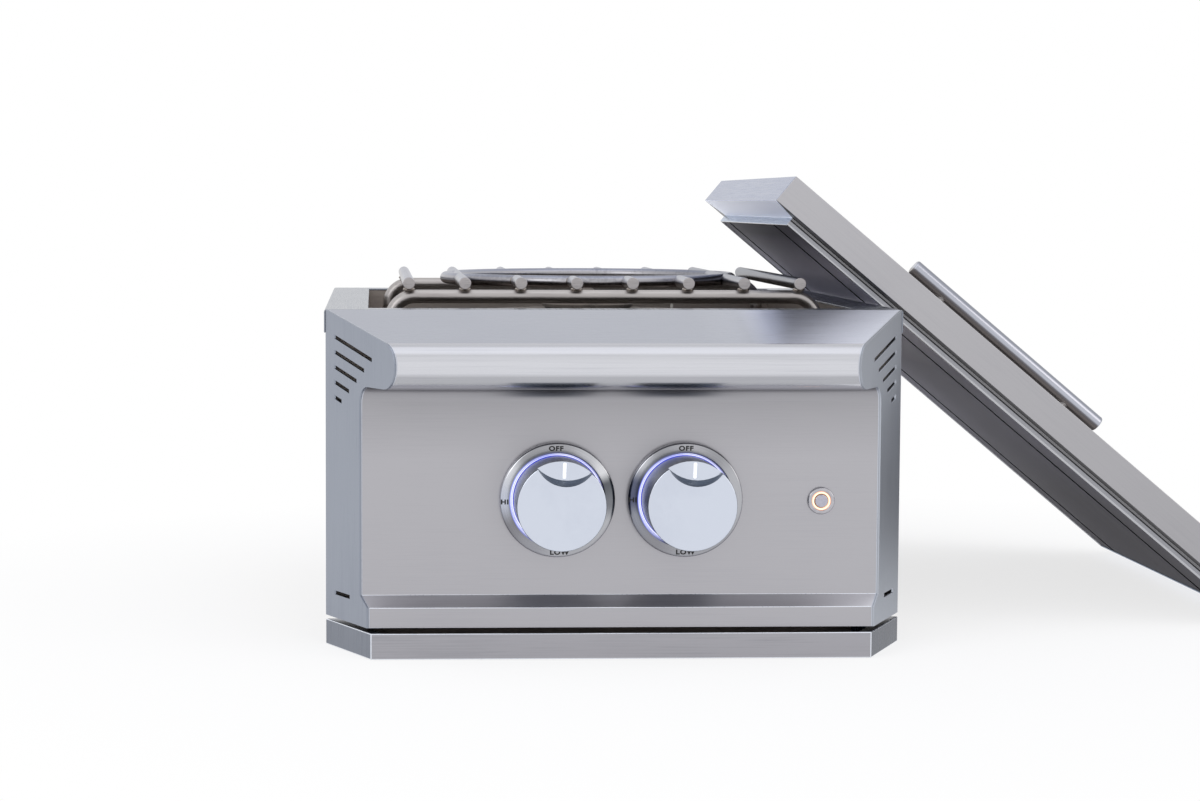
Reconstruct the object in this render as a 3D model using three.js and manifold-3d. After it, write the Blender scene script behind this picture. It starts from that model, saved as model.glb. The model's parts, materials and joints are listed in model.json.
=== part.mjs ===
// Built-in double side burner with a lift-off lid, in millimetres, +Z up.
// X = 0 is the middle of the width, Z = 0 the surface that the unit stands on.
// The front looks along -Y, and the two end plates meet the burner box at frontY.

import * as THREE from "three";
import { mergeVertices } from "three/addons/utils/BufferGeometryUtils.js";
import Module from "manifold-3d";

const wasm = await Module();
wasm.setup();

// Driving sizes of the whole unit
const plateWidth = 387;
const rimHeight = 225.1;
const sheet = 1.2;
const fit = 0.3;
const looseFit = 0.6;
const overrun = 5;

// Driving sizes of the grate, whose middle is the middle of the burners
const rodRadius = 4.3;
const rodLength = 300;
const rodRise = 15.1;
const railRadius = 4.75;
const railInset = 7;
const railOverhang = 16.82;
const railClearance = 11.4;
const railBend = 16;
const ringOverhang = 9.3;
const ledgeDrop = 20.4;
const ledgeWidth = 24;

// Driving sizes of the burner box and its rim
const frontGap = 75;
const rearGap = 69.5;
const boxInset = 27;
const openingLip = 1.5;
const openingFront = 25;
const openingRear = 27.5;
const rimOverhang = 1;
const rimEdge = 1.8;
const hemDepth = 15.5;
const wallFlange = 12.3;

// Driving sizes of the bent front: reach is forward from frontY, height up from the floor
const taper = Math.tan(THREE.MathUtils.degToRad(25.08));
const noseRadius = 15;
const noseReach = 96.3;
const noseDrop = 32.7;
const panelReach = 48.5;
const underNoseRadius = 11;
const lipBottom = 20.1;
const lipHeight = 13.3;
const lipReturn = 12;
const flareHeight = 7;
const flareDepth = 10.1;

// Driving sizes of the controls
const knobSpacing = 83.6;
const pushTravel = 3;
const bezelRadius = 37.6;
const bezelBore = 30.5;
const bezelDepth = 7.5;
const knobRadius = 28.7;
const knobFaceReach = 95;
const stemRadius = 4;
const stemHoleRadius = 6;
const switchInset = 61.7;
const switchDrop = 1.4;
const switchRadius = 8.9;
const switchStep = 1.2;
const switchTravel = 2;

// Driving sizes of the drip tray
const trayGap = 2.7;
const trayProud = 5.8;
const trayFloor = 0.5;
const trayRunning = 3.3;
const panShort = 14;

// Driving sizes of the lid, which leans on the right edge of the rim
const lidLength = 464;
const lidWidth = 387.7;
const lidSkirt = 21.6;
const lidFlange = 19;
const lidLip = 28;
const lidLean = THREE.MathUtils.degToRad(40);
const lidSetback = 56.6;
const handleLength = 190;
const handleRadius = 6.35;
const handleStand = 27.4;
const handlePostSpacing = 126;
const handlePostRadius = 5;

// Numbers of flat sides on round pieces
const fineSides = 48;
const roundSides = 32;
const rodSides = 16;
const bendSteps = 8;

// Steel, chrome, brass and the rest, in the colours of the real finishes
const finishes = {
  brushed: { color: 0xb4b6bd, roughness: 0.34, metalness: 1 },
  endPlate: { color: 0x9aa3ae, roughness: 0.38, metalness: 1 },
  plain: { color: 0x9a9a9e, roughness: 0.5, metalness: 1 },
  rod: { color: 0x8f8984, roughness: 0.32, metalness: 1 },
  chrome: { color: 0xd4d6dc, roughness: 0.08, metalness: 1 },
  brass: { color: 0xb79a58, roughness: 0.35, metalness: 1 },
  castIron: { color: 0x4a4a4c, roughness: 0.7, metalness: 0.6 },
  zinc: { color: 0x8c8f93, roughness: 0.45, metalness: 1 },
  ceramic: { color: 0xeeebe2, roughness: 0.4, metalness: 0 },
  blackPlastic: { color: 0x1c1c1e, roughness: 0.5, metalness: 0 },
  lightGuide: { color: 0xdfe8ff, roughness: 0.3, metalness: 0 },
  amberGuide: { color: 0xffb347, roughness: 0.3, metalness: 0 },
};

const unit = new THREE.Group();

// Turns a closed three.js geometry into a solid that can be joined and cut
function solid(geometry) {
  geometry.deleteAttribute("normal");
  geometry.deleteAttribute("uv");
  const merged = mergeVertices(geometry);
  return new wasm.Manifold(new wasm.Mesh({
    numProp: 3,
    vertProperties: new Float32Array(merged.attributes.position.array),
    triVerts: new Uint32Array(merged.index.array),
  }));
}

// Adds one named piece to a group
function piece(name, finish, body, group = unit) {
  const data = body.getMesh();
  const geometry = new THREE.BufferGeometry();
  geometry.setAttribute("position", new THREE.BufferAttribute(data.vertProperties, data.numProp));
  geometry.setIndex(new THREE.BufferAttribute(data.triVerts, 1));
  geometry.computeVertexNormals();
  const mesh = new THREE.Mesh(geometry, new THREE.MeshStandardMaterial(finishes[finish]));
  mesh.name = name;
  group.add(mesh);
}

function box([x0, x1], [y0, y1], [z0, z1]) {
  const geometry = new THREE.BoxGeometry(Math.abs(x1 - x0), y1 - y0, z1 - z0);
  geometry.translate((x0 + x1) / 2, (y0 + y1) / 2, (z0 + z1) / 2);
  return solid(geometry);
}

// A cylinder or cone along one axis; centre holds the other two coordinates in order
function cylinder(axis, [a, b], [from, to], radius, endRadius = radius, sides = roundSides) {
  const geometry = new THREE.CylinderGeometry(endRadius, radius, to - from, sides);
  geometry.translate(0, (from + to) / 2, 0);
  if (axis === "x") geometry.rotateZ(-Math.PI / 2).translate(0, a, b);
  if (axis === "y") geometry.translate(a, 0, b);
  if (axis === "z") geometry.rotateX(Math.PI / 2).translate(a, b, 0);
  return solid(geometry);
}

// An outline pushed along one axis: (y, z) points along x, (x, z) along y, (x, y) along z
function prism(axis, outline, [from, to]) {
  const points = outline.map(([a, b]) => (axis === "y" ? new THREE.Vector2(b, a) : new THREE.Vector2(a, b)));
  const options = { depth: to - from, bevelEnabled: false };
  const geometry = new THREE.ExtrudeGeometry(new THREE.Shape(points), options);
  geometry.translate(0, 0, from);
  const x = new THREE.Vector3(1, 0, 0);
  const y = new THREE.Vector3(0, 1, 0);
  const z = new THREE.Vector3(0, 0, 1);
  const turn = new THREE.Matrix4();
  if (axis === "x") turn.makeBasis(y, z, x);
  if (axis === "y") turn.makeBasis(z, x, y);
  return solid(geometry.applyMatrix4(turn));
}

// A turned piece about the vertical axis through (x, y), from (radius, z) points
function turnedUp(profile, [x, y] = [0, 0], sides = fineSides) {
  const points = profile.map(([radius, z]) => new THREE.Vector2(radius, z));
  const geometry = new THREE.LatheGeometry(points, sides);
  geometry.rotateX(Math.PI / 2).translate(x, y, 0);
  return solid(geometry);
}

// A turned piece about an axis that runs to the front at (x, z), from (radius, reach) points
function turnedForward(profile, [x, z], sides = fineSides) {
  const points = profile.map(([radius, reach]) => new THREE.Vector2(radius, reach));
  const geometry = new THREE.LatheGeometry(points, sides);
  geometry.rotateX(Math.PI).translate(x, frontY, z);
  return solid(geometry);
}

// A path through given points, with one step of the sweep from each point to the next
class KnotPath extends THREE.Curve {
  constructor(points) {
    super();
    this.points = points;
  }

  getPoint(t, target = new THREE.Vector3()) {
    const place = t * (this.points.length - 1);
    const knot = Math.min(Math.floor(place), this.points.length - 2);
    return target.lerpVectors(this.points[knot], this.points[knot + 1], place - knot);
  }

  getUtoTmapping(u) {
    return u;
  }
}

// A round bar or tube along a path of knots
function bentBar(points, radius, bore = 0, sides = rodSides) {
  const section = new THREE.Shape();
  section.absarc(0, 0, radius, 0, Math.PI * 2);
  if (bore > 0) section.holes.push(new THREE.Path().absarc(0, 0, bore, 0, Math.PI * 2));
  const geometry = new THREE.ExtrudeGeometry(section, {
    steps: points.length - 1,
    curveSegments: sides / 2,
    extrudePath: new KnotPath(points),
  });
  return solid(geometry);
}

// Points of a quarter bend about a centre, from one direction to another at right angles to it
function quarterBend(centre, radius, from, to) {
  const points = [];
  for (let step = 0; step <= bendSteps; step += 1) {
    const angle = (step / bendSteps) * (Math.PI / 2);
    points.push(centre.clone()
      .addScaledVector(from, radius * Math.cos(angle))
      .addScaledVector(to, radius * Math.sin(angle)));
  }
  return points;
}

// Points of an arc in a plane, from one angle to another in radians
function arc([a, b], radius, start, end, steps = bendSteps) {
  const points = [];
  for (let step = 0; step <= steps; step += 1) {
    const angle = start + ((end - start) * step) / steps;
    points.push([a + radius * Math.cos(angle), b + radius * Math.sin(angle)]);
  }
  return points;
}

// Moves an open line of points sideways by a distance, to give the other face of a sheet
function offsetLine(points, distance) {
  return points.map((point, index) => {
    const before = points[Math.max(index - 1, 0)];
    const after = points[Math.min(index + 1, points.length - 1)];
    const back = new THREE.Vector2(point[0] - before[0], point[1] - before[1]).normalize();
    const onward = new THREE.Vector2(after[0] - point[0], after[1] - point[1]).normalize();
    const along = back.clone().add(onward).normalize();
    const side = new THREE.Vector2(along.y, -along.x);
    const spread = Math.max(along.dot(onward), along.dot(back));
    return [point[0] + (side.x * distance) / spread, point[1] + (side.y * distance) / spread];
  });
}

// Places that follow from the driving sizes
const platesHalf = plateWidth / 2;
const rimHalf = platesHalf + rimOverhang;
const boxHalf = platesHalf - boxInset;
const wallInner = boxHalf - sheet;
const openingHalf = boxHalf - openingLip;
const railHalf = openingHalf - railClearance;
const rodPitch = (railHalf - railOverhang) / 3.5;
const halfRod = rodLength / 2;
const frontY = -halfRod - frontGap;
const rimRearY = halfRod + rearGap;
const frontWallY = frontY + fit;
const frontWallRearY = frontWallY + sheet;
const openingRearY = rimRearY - openingRear;
const backWallY = openingRearY + fit;
const rimUnder = rimHeight - sheet;
const wallTop = rimUnder - fit;
const noseHeight = rimHeight - noseDrop;
const lipReach = panelReach + flareDepth;
const lipTop = lipBottom + lipHeight;
const panelFoot = lipTop + flareHeight;
const panelTop = noseHeight - noseRadius - underNoseRadius;
const controlHeight = (panelTop + panelFoot) / 2;
const switchHeight = controlHeight - switchDrop;
const ahead = (reach) => frontY - reach;

// Side view of the bent front as [reach, height]: slope, nose, underside, panel, flare and lip
function frontProfile() {
  const noseCentre = [noseReach - noseRadius, noseHeight];
  const toCentre = Math.hypot(noseCentre[0], rimHeight - noseCentre[1]);
  const fall = Math.atan2(rimHeight - noseCentre[1], noseCentre[0]);
  const slope = fall - Math.asin(noseRadius / toCentre);
  const underCentre = [panelReach + underNoseRadius, panelTop];
  return [
    [0, rimHeight],
    ...arc(noseCentre, noseRadius, Math.PI / 2 - slope, -Math.PI / 2, fineSides / 3),
    ...arc(underCentre, underNoseRadius, Math.PI / 2, Math.PI),
    [panelReach, panelFoot],
    [lipReach, lipTop],
    [lipReach, lipBottom],
  ];
}

const toWorld = ([reach, height]) => [ahead(reach), height];

// Plan view between the end plates, drawn in from their outer faces by an inset
function planBetweenPlates(inset) {
  const reach = noseReach + overrun;
  const across = inset * Math.hypot(1, taper);
  const rear = platesHalf - across;
  const front = rear - taper * reach;
  return [[-rear, frontY], [-front, ahead(reach)], [front, ahead(reach)], [rear, frontY]];
}

const switchPlace = platesHalf - switchInset;

// Bent front panel: one sheet from the rim down over the nose to the bottom lip
function frontPanel() {
  const outside = frontProfile();
  outside.push([lipReach - lipReturn, lipBottom]);
  const inside = offsetLine(outside, sheet).reverse();
  const bent = prism("x", [...outside, ...inside].map(toWorld), [-platesHalf, platesHalf]);
  const trimmed = bent.intersect(prism("z", planBetweenPlates(sheet + fit), [0, rimHeight + overrun]));
  const through = [ahead(panelReach + overrun), ahead(panelReach - overrun)];
  const switchHole = switchRadius - switchStep + fit;
  return trimmed
    .subtract(cylinder("y", [-knobSpacing / 2, controlHeight], through, stemHoleRadius))
    .subtract(cylinder("y", [knobSpacing / 2, controlHeight], through, stemHoleRadius))
    .subtract(cylinder("y", [switchPlace, switchHeight], through, switchHole));
}
piece("front_panel", "brushed", frontPanel());

// End plate with five slanted vents under the slope and one short vent at the foot
const ventStart = 12.6;
const ventDrop = 17.3;
const ventPitch = 10;
const ventLength = 53.2;
const ventShorter = 10.6;
const ventFall = Math.tan(THREE.MathUtils.degToRad(13.3));
const ventHeight = 2.6;
const ventCount = 5;
const footVentLength = 22;
const footVentRise = 17;

function ventBar(side, start, top, length, fall) {
  const end = start + length;
  const corners = [
    [start, top], [end, top - fall * length],
    [end, top - fall * length - ventHeight], [start, top - ventHeight],
  ];
  const across = [platesHalf - taper * end - overrun, platesHalf + overrun];
  return prism("x", corners.map(toWorld), side > 0 ? across : [-across[1], -across[0]]);
}

function endPlate(side) {
  const profile = prism("x", [...frontProfile(), [0, lipBottom]].map(toWorld), [-platesHalf, platesHalf]);
  const tall = [0, rimHeight + overrun];
  const shell = profile.intersect(prism("z", planBetweenPlates(0), tall))
    .subtract(prism("z", planBetweenPlates(sheet), tall));
  const half = side > 0 ? [0, platesHalf + overrun] : [-platesHalf - overrun, 0];
  let plate = shell.intersect(box(half, [ahead(noseReach + overrun), frontY + overrun], tall));
  for (let vent = 0; vent < ventCount; vent += 1) {
    const top = rimHeight - ventDrop + ventHeight / 2 - vent * ventPitch;
    plate = plate.subtract(ventBar(side, ventStart, top, ventLength - vent * ventShorter, ventFall));
  }
  const footVentTop = lipBottom + footVentRise + ventHeight / 2;
  return plate.subtract(ventBar(side, ventStart, footVentTop, footVentLength, 0));
}
piece("left_end_plate", "endPlate", endPlate(-1));
piece("right_end_plate", "endPlate", endPlate(1));

// Rim: a flat frame round the opening with a turned-down hem on three sides
function topRim() {
  const hemFoot = rimHeight - hemDepth;
  const edgeZ = rimHeight - rimEdge;
  const across = [
    [-rimHalf, hemFoot], [rimHalf, hemFoot],
    ...arc([rimHalf - rimEdge, edgeZ], rimEdge, 0, Math.PI / 2, bendSteps / 2),
    ...arc([rimEdge - rimHalf, edgeZ], rimEdge, Math.PI / 2, Math.PI, bendSteps / 2),
  ];
  const along = [
    [frontWallY, hemFoot], [rimRearY, hemFoot],
    ...arc([rimRearY - rimEdge, edgeZ], rimEdge, 0, Math.PI / 2, bendSteps / 2),
    [frontWallY, rimHeight],
  ];
  const block = prism("y", across, [frontWallY, rimRearY]).intersect(prism("x", along, [-rimHalf, rimHalf]));
  const under = [hemFoot - overrun, rimUnder];
  const hollow = box([sheet - rimHalf, rimHalf - sheet], [frontWallY - overrun, rimRearY - sheet], under);
  const span = [hemFoot - overrun, rimHeight + overrun];
  const opening = box([-openingHalf, openingHalf], [frontY + openingFront, openingRearY], span);
  return block.subtract(hollow).subtract(opening);
}
piece("top_rim", "brushed", topRim());

// Heat wall between the controls and the burners, with a hole for each gas tube
const bellRadius = 15;
const manifoldReach = 17;
const manifoldRadius = 7;
const manifoldDrop = 23;
const manifoldHeight = controlHeight - manifoldDrop;
const inletRadius = 5.5;
const inletInset = 8.5;
const inletPlace = -boxHalf - inletInset;

function heatWall() {
  const half = rimHalf - sheet - fit;
  const through = [frontWallY - overrun, frontWallRearY + overrun];
  return box([-half, half], [frontWallY, frontWallRearY], [lipBottom, wallTop])
    .subtract(cylinder("y", [-knobSpacing / 2, controlHeight], through, bellRadius + looseFit))
    .subtract(cylinder("y", [knobSpacing / 2, controlHeight], through, bellRadius + looseFit))
    .subtract(cylinder("y", [inletPlace, manifoldHeight], through, inletRadius + looseFit));
}
piece("heat_wall", "plain", heatWall());

// Side walls of the box, each with a bottom flange turned in to carry the tray
function sideWall(side) {
  const depth = [frontWallRearY + fit, backWallY - fit];
  const wall = box([side * wallInner, side * boxHalf], depth, [0, wallTop]);
  return wall.add(box([side * (wallInner - wallFlange), side * boxHalf], depth, [0, sheet]));
}
piece("left_side_wall", "plain", sideWall(-1));
piece("right_side_wall", "plain", sideWall(1));
piece("back_wall", "plain", box([-boxHalf, boxHalf], [backWallY, backWallY + sheet], [0, wallTop]));

// Ledges that the grate's legs stand on
const ledgeTop = rimHeight - ledgeDrop;

function grateLedge(side) {
  const across = [side * (wallInner - fit), side * (wallInner - fit - ledgeWidth)];
  return box(across, [frontWallRearY + fit, backWallY - fit], [ledgeTop - sheet, ledgeTop]);
}
piece("left_grate_ledge", "plain", grateLedge(-1));
piece("right_grate_ledge", "plain", grateLedge(1));

// Bezel: a chromed ring with a rounded front edge, screwed to the panel
const bezelEdge = 2.2;
const bezelReach = panelReach + fit;
const lightRingDepth = 2.5;
const lightRingBore = 24;

function bezel(side) {
  const front = bezelReach + bezelDepth;
  const edge = arc([bezelRadius - bezelEdge, front - bezelEdge], bezelEdge, 0, Math.PI / 2, bendSteps / 2);
  const profile = [
    [bezelBore, bezelReach], [bezelRadius, bezelReach], ...edge,
    [bezelBore + sheet, front], [bezelBore, front - sheet], [bezelBore, bezelReach],
  ];
  return turnedForward(profile, [side * knobSpacing / 2, controlHeight]);
}

// Light ring: a clear ring inside the bezel, lit from behind
function lightRing(side) {
  const outer = bezelBore - fit;
  const front = bezelReach + lightRingDepth;
  const profile = [
    [lightRingBore, bezelReach], [outer, bezelReach], [outer, front],
    [lightRingBore, front], [lightRingBore, bezelReach],
  ];
  return turnedForward(profile, [side * knobSpacing / 2, controlHeight]);
}

// Knob: a metal drum with a thumb rest scooped out of its face, a little right of the top.
// The wall of the scoop is widest in the middle and runs out at both ends.
const knobRearReach = bezelReach + lightRingDepth + pushTravel + fit;
const knobEdge = 0.9;
const knobBoreDepth = 20;
const knobWall = 2.6;
const knobBossRadius = 8;
const knobFaceDepth = 9;
const scoopRise = 33.2;
const scoopRadius = 20.3;
const scoopFootRise = 43.7;
const scoopFootRadius = 27.2;
const scoopDepth = 6;
const scoopTurn = THREE.MathUtils.degToRad(5);

function knob(side) {
  const place = [side * knobSpacing / 2, controlHeight];
  const edge = arc([knobRadius - knobEdge, knobFaceReach - knobEdge], knobEdge, 0, Math.PI / 2, bendSteps / 2);
  const profile = [[0, knobRearReach], [knobRadius, knobRearReach], ...edge, [0, knobFaceReach]];
  const scoopPlace = [place[0] + scoopRise * Math.sin(scoopTurn), place[1] + scoopRise * Math.cos(scoopTurn)];
  const scoopSpan = [ahead(knobFaceReach), ahead(knobFaceReach - scoopDepth)];
  const scoopMouth = [scoopSpan[0] - overrun, scoopSpan[0]];
  const lean = (vertex) => {
    const shift = ((vertex[1] - scoopSpan[0]) / scoopDepth) * (scoopFootRise - scoopRise);
    vertex[0] += shift * Math.sin(scoopTurn);
    vertex[2] += shift * Math.cos(scoopTurn);
  };
  const scoop = cylinder("y", scoopPlace, scoopSpan, scoopRadius, scoopFootRadius, fineSides)
    .warp(lean)
    .add(cylinder("y", scoopPlace, scoopMouth, scoopRadius, scoopRadius, fineSides));
  const boreSpan = [ahead(knobRearReach + knobBoreDepth), ahead(knobRearReach - overrun)];
  const bore = cylinder("y", place, boreSpan, stemRadius + fit, stemRadius + fit, rodSides);
  const hollow = turnedForward([
    [knobBossRadius, knobRearReach - overrun], [knobRadius - knobWall, knobRearReach - overrun],
    [knobRadius - knobWall, knobFaceReach - knobFaceDepth], [knobBossRadius, knobFaceReach - knobFaceDepth],
    [knobBossRadius, knobRearReach - overrun],
  ], place, rodSides);
  return turnedForward(profile, place).subtract(hollow).subtract(scoop).subtract(bore);
}

// Valve with its stem: the stem slides into the valve's nose as the knob is pushed
const valveNoseReach = panelReach - sheet - fit;
const valveNoseRadius = 9;
const valveFrontReach = 36;
const valveRearReach = 14;
const valveRadius = 13;
const valveBossReach = 8;
const valveBossRadius = 7;
const valveLegRadius = 6;
const stemRearReach = 34;
const orificeRadius = 5;
const orificeLength = 6.5;
const orificeTipRadius = 2;

function valveStem(side) {
  const span = [ahead(knobRearReach + knobBoreDepth - fit), ahead(stemRearReach)];
  return cylinder("y", [side * knobSpacing / 2, controlHeight], span, stemRadius, stemRadius, rodSides);
}

function valveBody(side) {
  const place = [side * knobSpacing / 2, controlHeight];
  const profile = [
    [0, valveBossReach], [valveBossRadius, valveBossReach], [valveBossRadius, valveRearReach],
    [valveRadius, valveRearReach], [valveRadius, valveFrontReach], [valveNoseRadius, valveFrontReach],
    [valveNoseRadius, valveNoseReach], [0, valveNoseReach],
  ];
  const boreSpan = [ahead(valveNoseReach + overrun), ahead(stemRearReach - pushTravel - fit)];
  const bore = cylinder("y", place, boreSpan, stemRadius + fit, stemRadius + fit, rodSides);
  const leg = cylinder("z", [place[0], ahead(manifoldReach)], [manifoldHeight, controlHeight], valveLegRadius);
  const pipe = cylinder("x", [ahead(manifoldReach), manifoldHeight],
    [place[0] - valveRadius, place[0] + valveRadius], manifoldRadius + fit);
  const under = box([place[0] - valveRadius, place[0] + valveRadius],
    [ahead(manifoldReach + manifoldRadius), ahead(manifoldReach - manifoldRadius)],
    [manifoldHeight - overrun, manifoldHeight]);
  return turnedForward(profile, place, roundSides).add(leg).subtract(pipe).subtract(under).subtract(bore);
}

function orifice(side) {
  const front = valveBossReach - fit;
  const shoulder = front - orificeLength / 2;
  const tip = front - orificeLength;
  const profile = [
    [0, tip], [orificeTipRadius, tip], [orificeRadius, shoulder], [orificeRadius, front], [0, front],
  ];
  return turnedForward(profile, [side * knobSpacing / 2, controlHeight], rodSides);
}

for (const [side, name] of [[-1, "left"], [1, "right"]]) {
  piece(`${name}_bezel`, "chrome", bezel(side));
  piece(`${name}_light_ring`, "lightGuide", lightRing(side));
  piece(`${name}_knob`, "chrome", knob(side));
  piece(`${name}_valve_stem`, "zinc", valveStem(side));
  piece(`${name}_valve_body`, "brass", valveBody(side));
  piece(`${name}_orifice`, "brass", orifice(side));
}

// Light switch: housing through the panel, lit ring, push cap and nut behind the panel
const switchFlange = 2;
const switchBarrelReach = 24;
const switchWell = 6.3;
const switchWellDepth = 2.4;
const switchCapRadius = 4.2;
const switchCapProud = 0.6;
const switchCapLength = 9.4;
const switchNutRadius = 12;
const switchNutDepth = 5;
const nutSides = 6;

function switchPieces() {
  const place = [switchPlace, switchHeight];
  const back = panelReach + fit;
  const front = back + switchFlange;
  const barrel = switchRadius - switchStep;
  const wellFloor = front - switchWellDepth;
  const plungerBore = switchCapRadius + fit;
  const boreFoot = front + switchCapProud - switchCapLength - switchTravel - fit;
  piece("switch_housing", "chrome", turnedForward([
    [0, switchBarrelReach], [barrel, switchBarrelReach], [barrel, back], [switchRadius, back],
    [switchRadius, front], [switchWell, front], [switchWell, wellFloor], [plungerBore, wellFloor],
    [plungerBore, boreFoot], [0, boreFoot],
  ], place, roundSides));
  const ringOuter = switchWell - fit;
  const ringInner = switchCapRadius + looseFit;
  const ringBack = wellFloor + fit;
  piece("switch_light_ring", "amberGuide", turnedForward([
    [ringInner, ringBack], [ringOuter, ringBack], [ringOuter, front], [ringInner, front], [ringInner, ringBack],
  ], place, roundSides));
  const capFront = front + switchCapProud;
  piece("switch_cap", "blackPlastic", turnedForward([
    [0, capFront - switchCapLength], [switchCapRadius, capFront - switchCapLength],
    [switchCapRadius, capFront], [0, capFront],
  ], place, roundSides));
  const nutSpan = [ahead(panelReach - sheet - fit), ahead(panelReach - sheet - fit - switchNutDepth)];
  const nut = cylinder("y", place, nutSpan, switchNutRadius, switchNutRadius, nutSides);
  const nutBore = [nutSpan[0] - overrun, nutSpan[1] + overrun];
  piece("switch_nut", "plain", nut.subtract(cylinder("y", place, nutBore, barrel + fit)));
}
switchPieces();

// Gas manifold behind the panel, and the inlet fitting that leads back past the box
const manifoldWall = 2;
const manifoldEnd = 5.2;
const manifoldRight = knobSpacing / 2 + valveRadius + manifoldEnd;
const inletBlockHalf = 6;
const inletTailLength = 29;
const inletNutPlace = 11;
const inletNutLength = 14;
const inletNutRadius = 8;
const manifoldLeft = inletPlace + inletBlockHalf + fit;

function gasManifold() {
  const centre = [ahead(manifoldReach), manifoldHeight];
  const bore = [manifoldLeft - overrun, manifoldRight - manifoldWall];
  return cylinder("x", centre, [manifoldLeft, manifoldRight], manifoldRadius)
    .subtract(cylinder("x", centre, bore, manifoldRadius - manifoldWall));
}
piece("gas_manifold", "plain", gasManifold());

function gasInletFitting() {
  const blockY = ahead(manifoldReach);
  const block = box([inletPlace - inletBlockHalf, inletPlace + inletBlockHalf],
    [blockY - inletBlockHalf, blockY + inletBlockHalf],
    [manifoldHeight - inletBlockHalf, manifoldHeight + inletBlockHalf]);
  const centre = [inletPlace, manifoldHeight];
  const tail = [blockY, frontY + inletTailLength];
  const nut = [frontY + inletNutPlace, frontY + inletNutPlace + inletNutLength];
  return block
    .add(cylinder("y", centre, tail, inletRadius))
    .add(cylinder("y", centre, nut, inletNutRadius, inletNutRadius, nutSides));
}
piece("gas_inlet_fitting", "brass", gasInletFitting());

// Gas tubes: a bell round the orifice, held by a flange on the heat wall, then a bent tube
const bellReach = 5;
const bellFlangeRadius = 19;
const bellLength = 14;
const tubeRadius = 11;
const tubeWall = 1.5;
const tubeNeck = 25;
const tubeBend = 35;
const burnerDrop = 38.1;
const burnerBarThickness = 3;
const capRadius = 34;
const airGap = 22;
const outerBurnerWidth = 32;
const outerBurnerInside = capRadius + airGap;
const outerBurnerRadius = outerBurnerInside + outerBurnerWidth;
const tubeStartY = frontY + tubeNeck;
const burnerBarTop = rimHeight - burnerDrop;
const bracketTop = burnerBarTop - burnerBarThickness - fit;

function gasTube(side, path) {
  const flangeFront = sheet + fit;
  const bellRear = -bellLength;
  const neck = -tubeNeck;
  const bell = turnedForward([
    [bellRadius - tubeWall, bellReach], [bellRadius, bellReach], [bellRadius, flangeFront],
    [bellFlangeRadius, flangeFront], [bellFlangeRadius, 0], [bellRadius, 0],
    [bellRadius, bellRear], [tubeRadius + tubeWall, neck], [tubeRadius - tubeWall / 2, neck],
    [bellRadius - tubeWall, bellRear], [bellRadius - tubeWall, bellReach],
  ].reverse(), [side * knobSpacing / 2, controlHeight], roundSides);
  return bell.add(bentBar(path, tubeRadius, tubeRadius - tubeWall));
}

function innerTubePath() {
  const startX = -knobSpacing / 2;
  const start = tubeStartY - overrun;
  const rise = bracketTop - tubeRadius - controlHeight;
  const knots = [[1, 1, 0], [1, 0.72, 0], [0.76, 0.46, 0.07], [0.2, 0.18, 0.3], [0, 0, 0.7], [0, 0, 1]]
    .map(([x, y, z]) => new THREE.Vector3(startX * x, start * y, controlHeight + rise * z));
  const curve = new THREE.CatmullRomCurve3(knots).getSpacedPoints(fineSides / 3);
  return [...curve, new THREE.Vector3(0, 0, bracketTop)];
}

function outerTubePath() {
  const x = knobSpacing / 2;
  const middle = outerBurnerRadius - outerBurnerWidth / 2;
  const upY = -Math.sqrt(middle ** 2 - x ** 2);
  const back = new THREE.Vector3(0, 1, 0);
  const down = new THREE.Vector3(0, 0, -1);
  const centre = new THREE.Vector3(x, upY - tubeBend, controlHeight + tubeBend);
  return [
    new THREE.Vector3(x, tubeStartY - overrun, controlHeight),
    ...quarterBend(centre, tubeBend, down, back),
    new THREE.Vector3(x, upY, burnerBarTop),
  ];
}
piece("inner_gas_tube", "plain", gasTube(-1, innerTubePath()));
piece("outer_gas_tube", "plain", gasTube(1, outerTubePath()));

// Cross bars and bracket that carry the burners
const barHalfWidth = 8;
const barPlace = outerBurnerRadius - barHalfWidth;
const bracketWidth = 40;
const bracketLength = barPlace * 2 + barHalfWidth * 2;
const electrodeRadius = 3;
const sparkGap = 9;
const innerElectrodePlace = [0, capRadius + airGap / 2];
const outerElectrodePlace = [Math.sqrt((outerBurnerRadius + sparkGap) ** 2 - barPlace ** 2), -barPlace];

function electrodeHole(place, span) {
  const radius = electrodeRadius + fit;
  return cylinder("z", place, span, radius, radius, rodSides);
}

function burnerBar(y) {
  const half = wallInner - fit;
  const foot = burnerBarTop - burnerBarThickness;
  const bar = box([-half, half], [y - barHalfWidth, y + barHalfWidth], [foot, burnerBarTop]);
  return bar.subtract(electrodeHole(outerElectrodePlace, [foot - overrun, burnerBarTop + overrun]));
}
piece("front_burner_bar", "plain", burnerBar(-barPlace));
piece("rear_burner_bar", "plain", burnerBar(barPlace));

function burnerBracket() {
  const foot = bracketTop - burnerBarThickness;
  const through = [foot - overrun, bracketTop + overrun];
  const across = [-bracketWidth / 2, bracketWidth / 2];
  return box(across, [-bracketLength / 2, bracketLength / 2], [foot, bracketTop])
    .subtract(cylinder("z", [0, 0], through, tubeRadius + looseFit))
    .subtract(electrodeHole(innerElectrodePlace, through));
}
piece("burner_bracket", "plain", burnerBracket());

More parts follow.
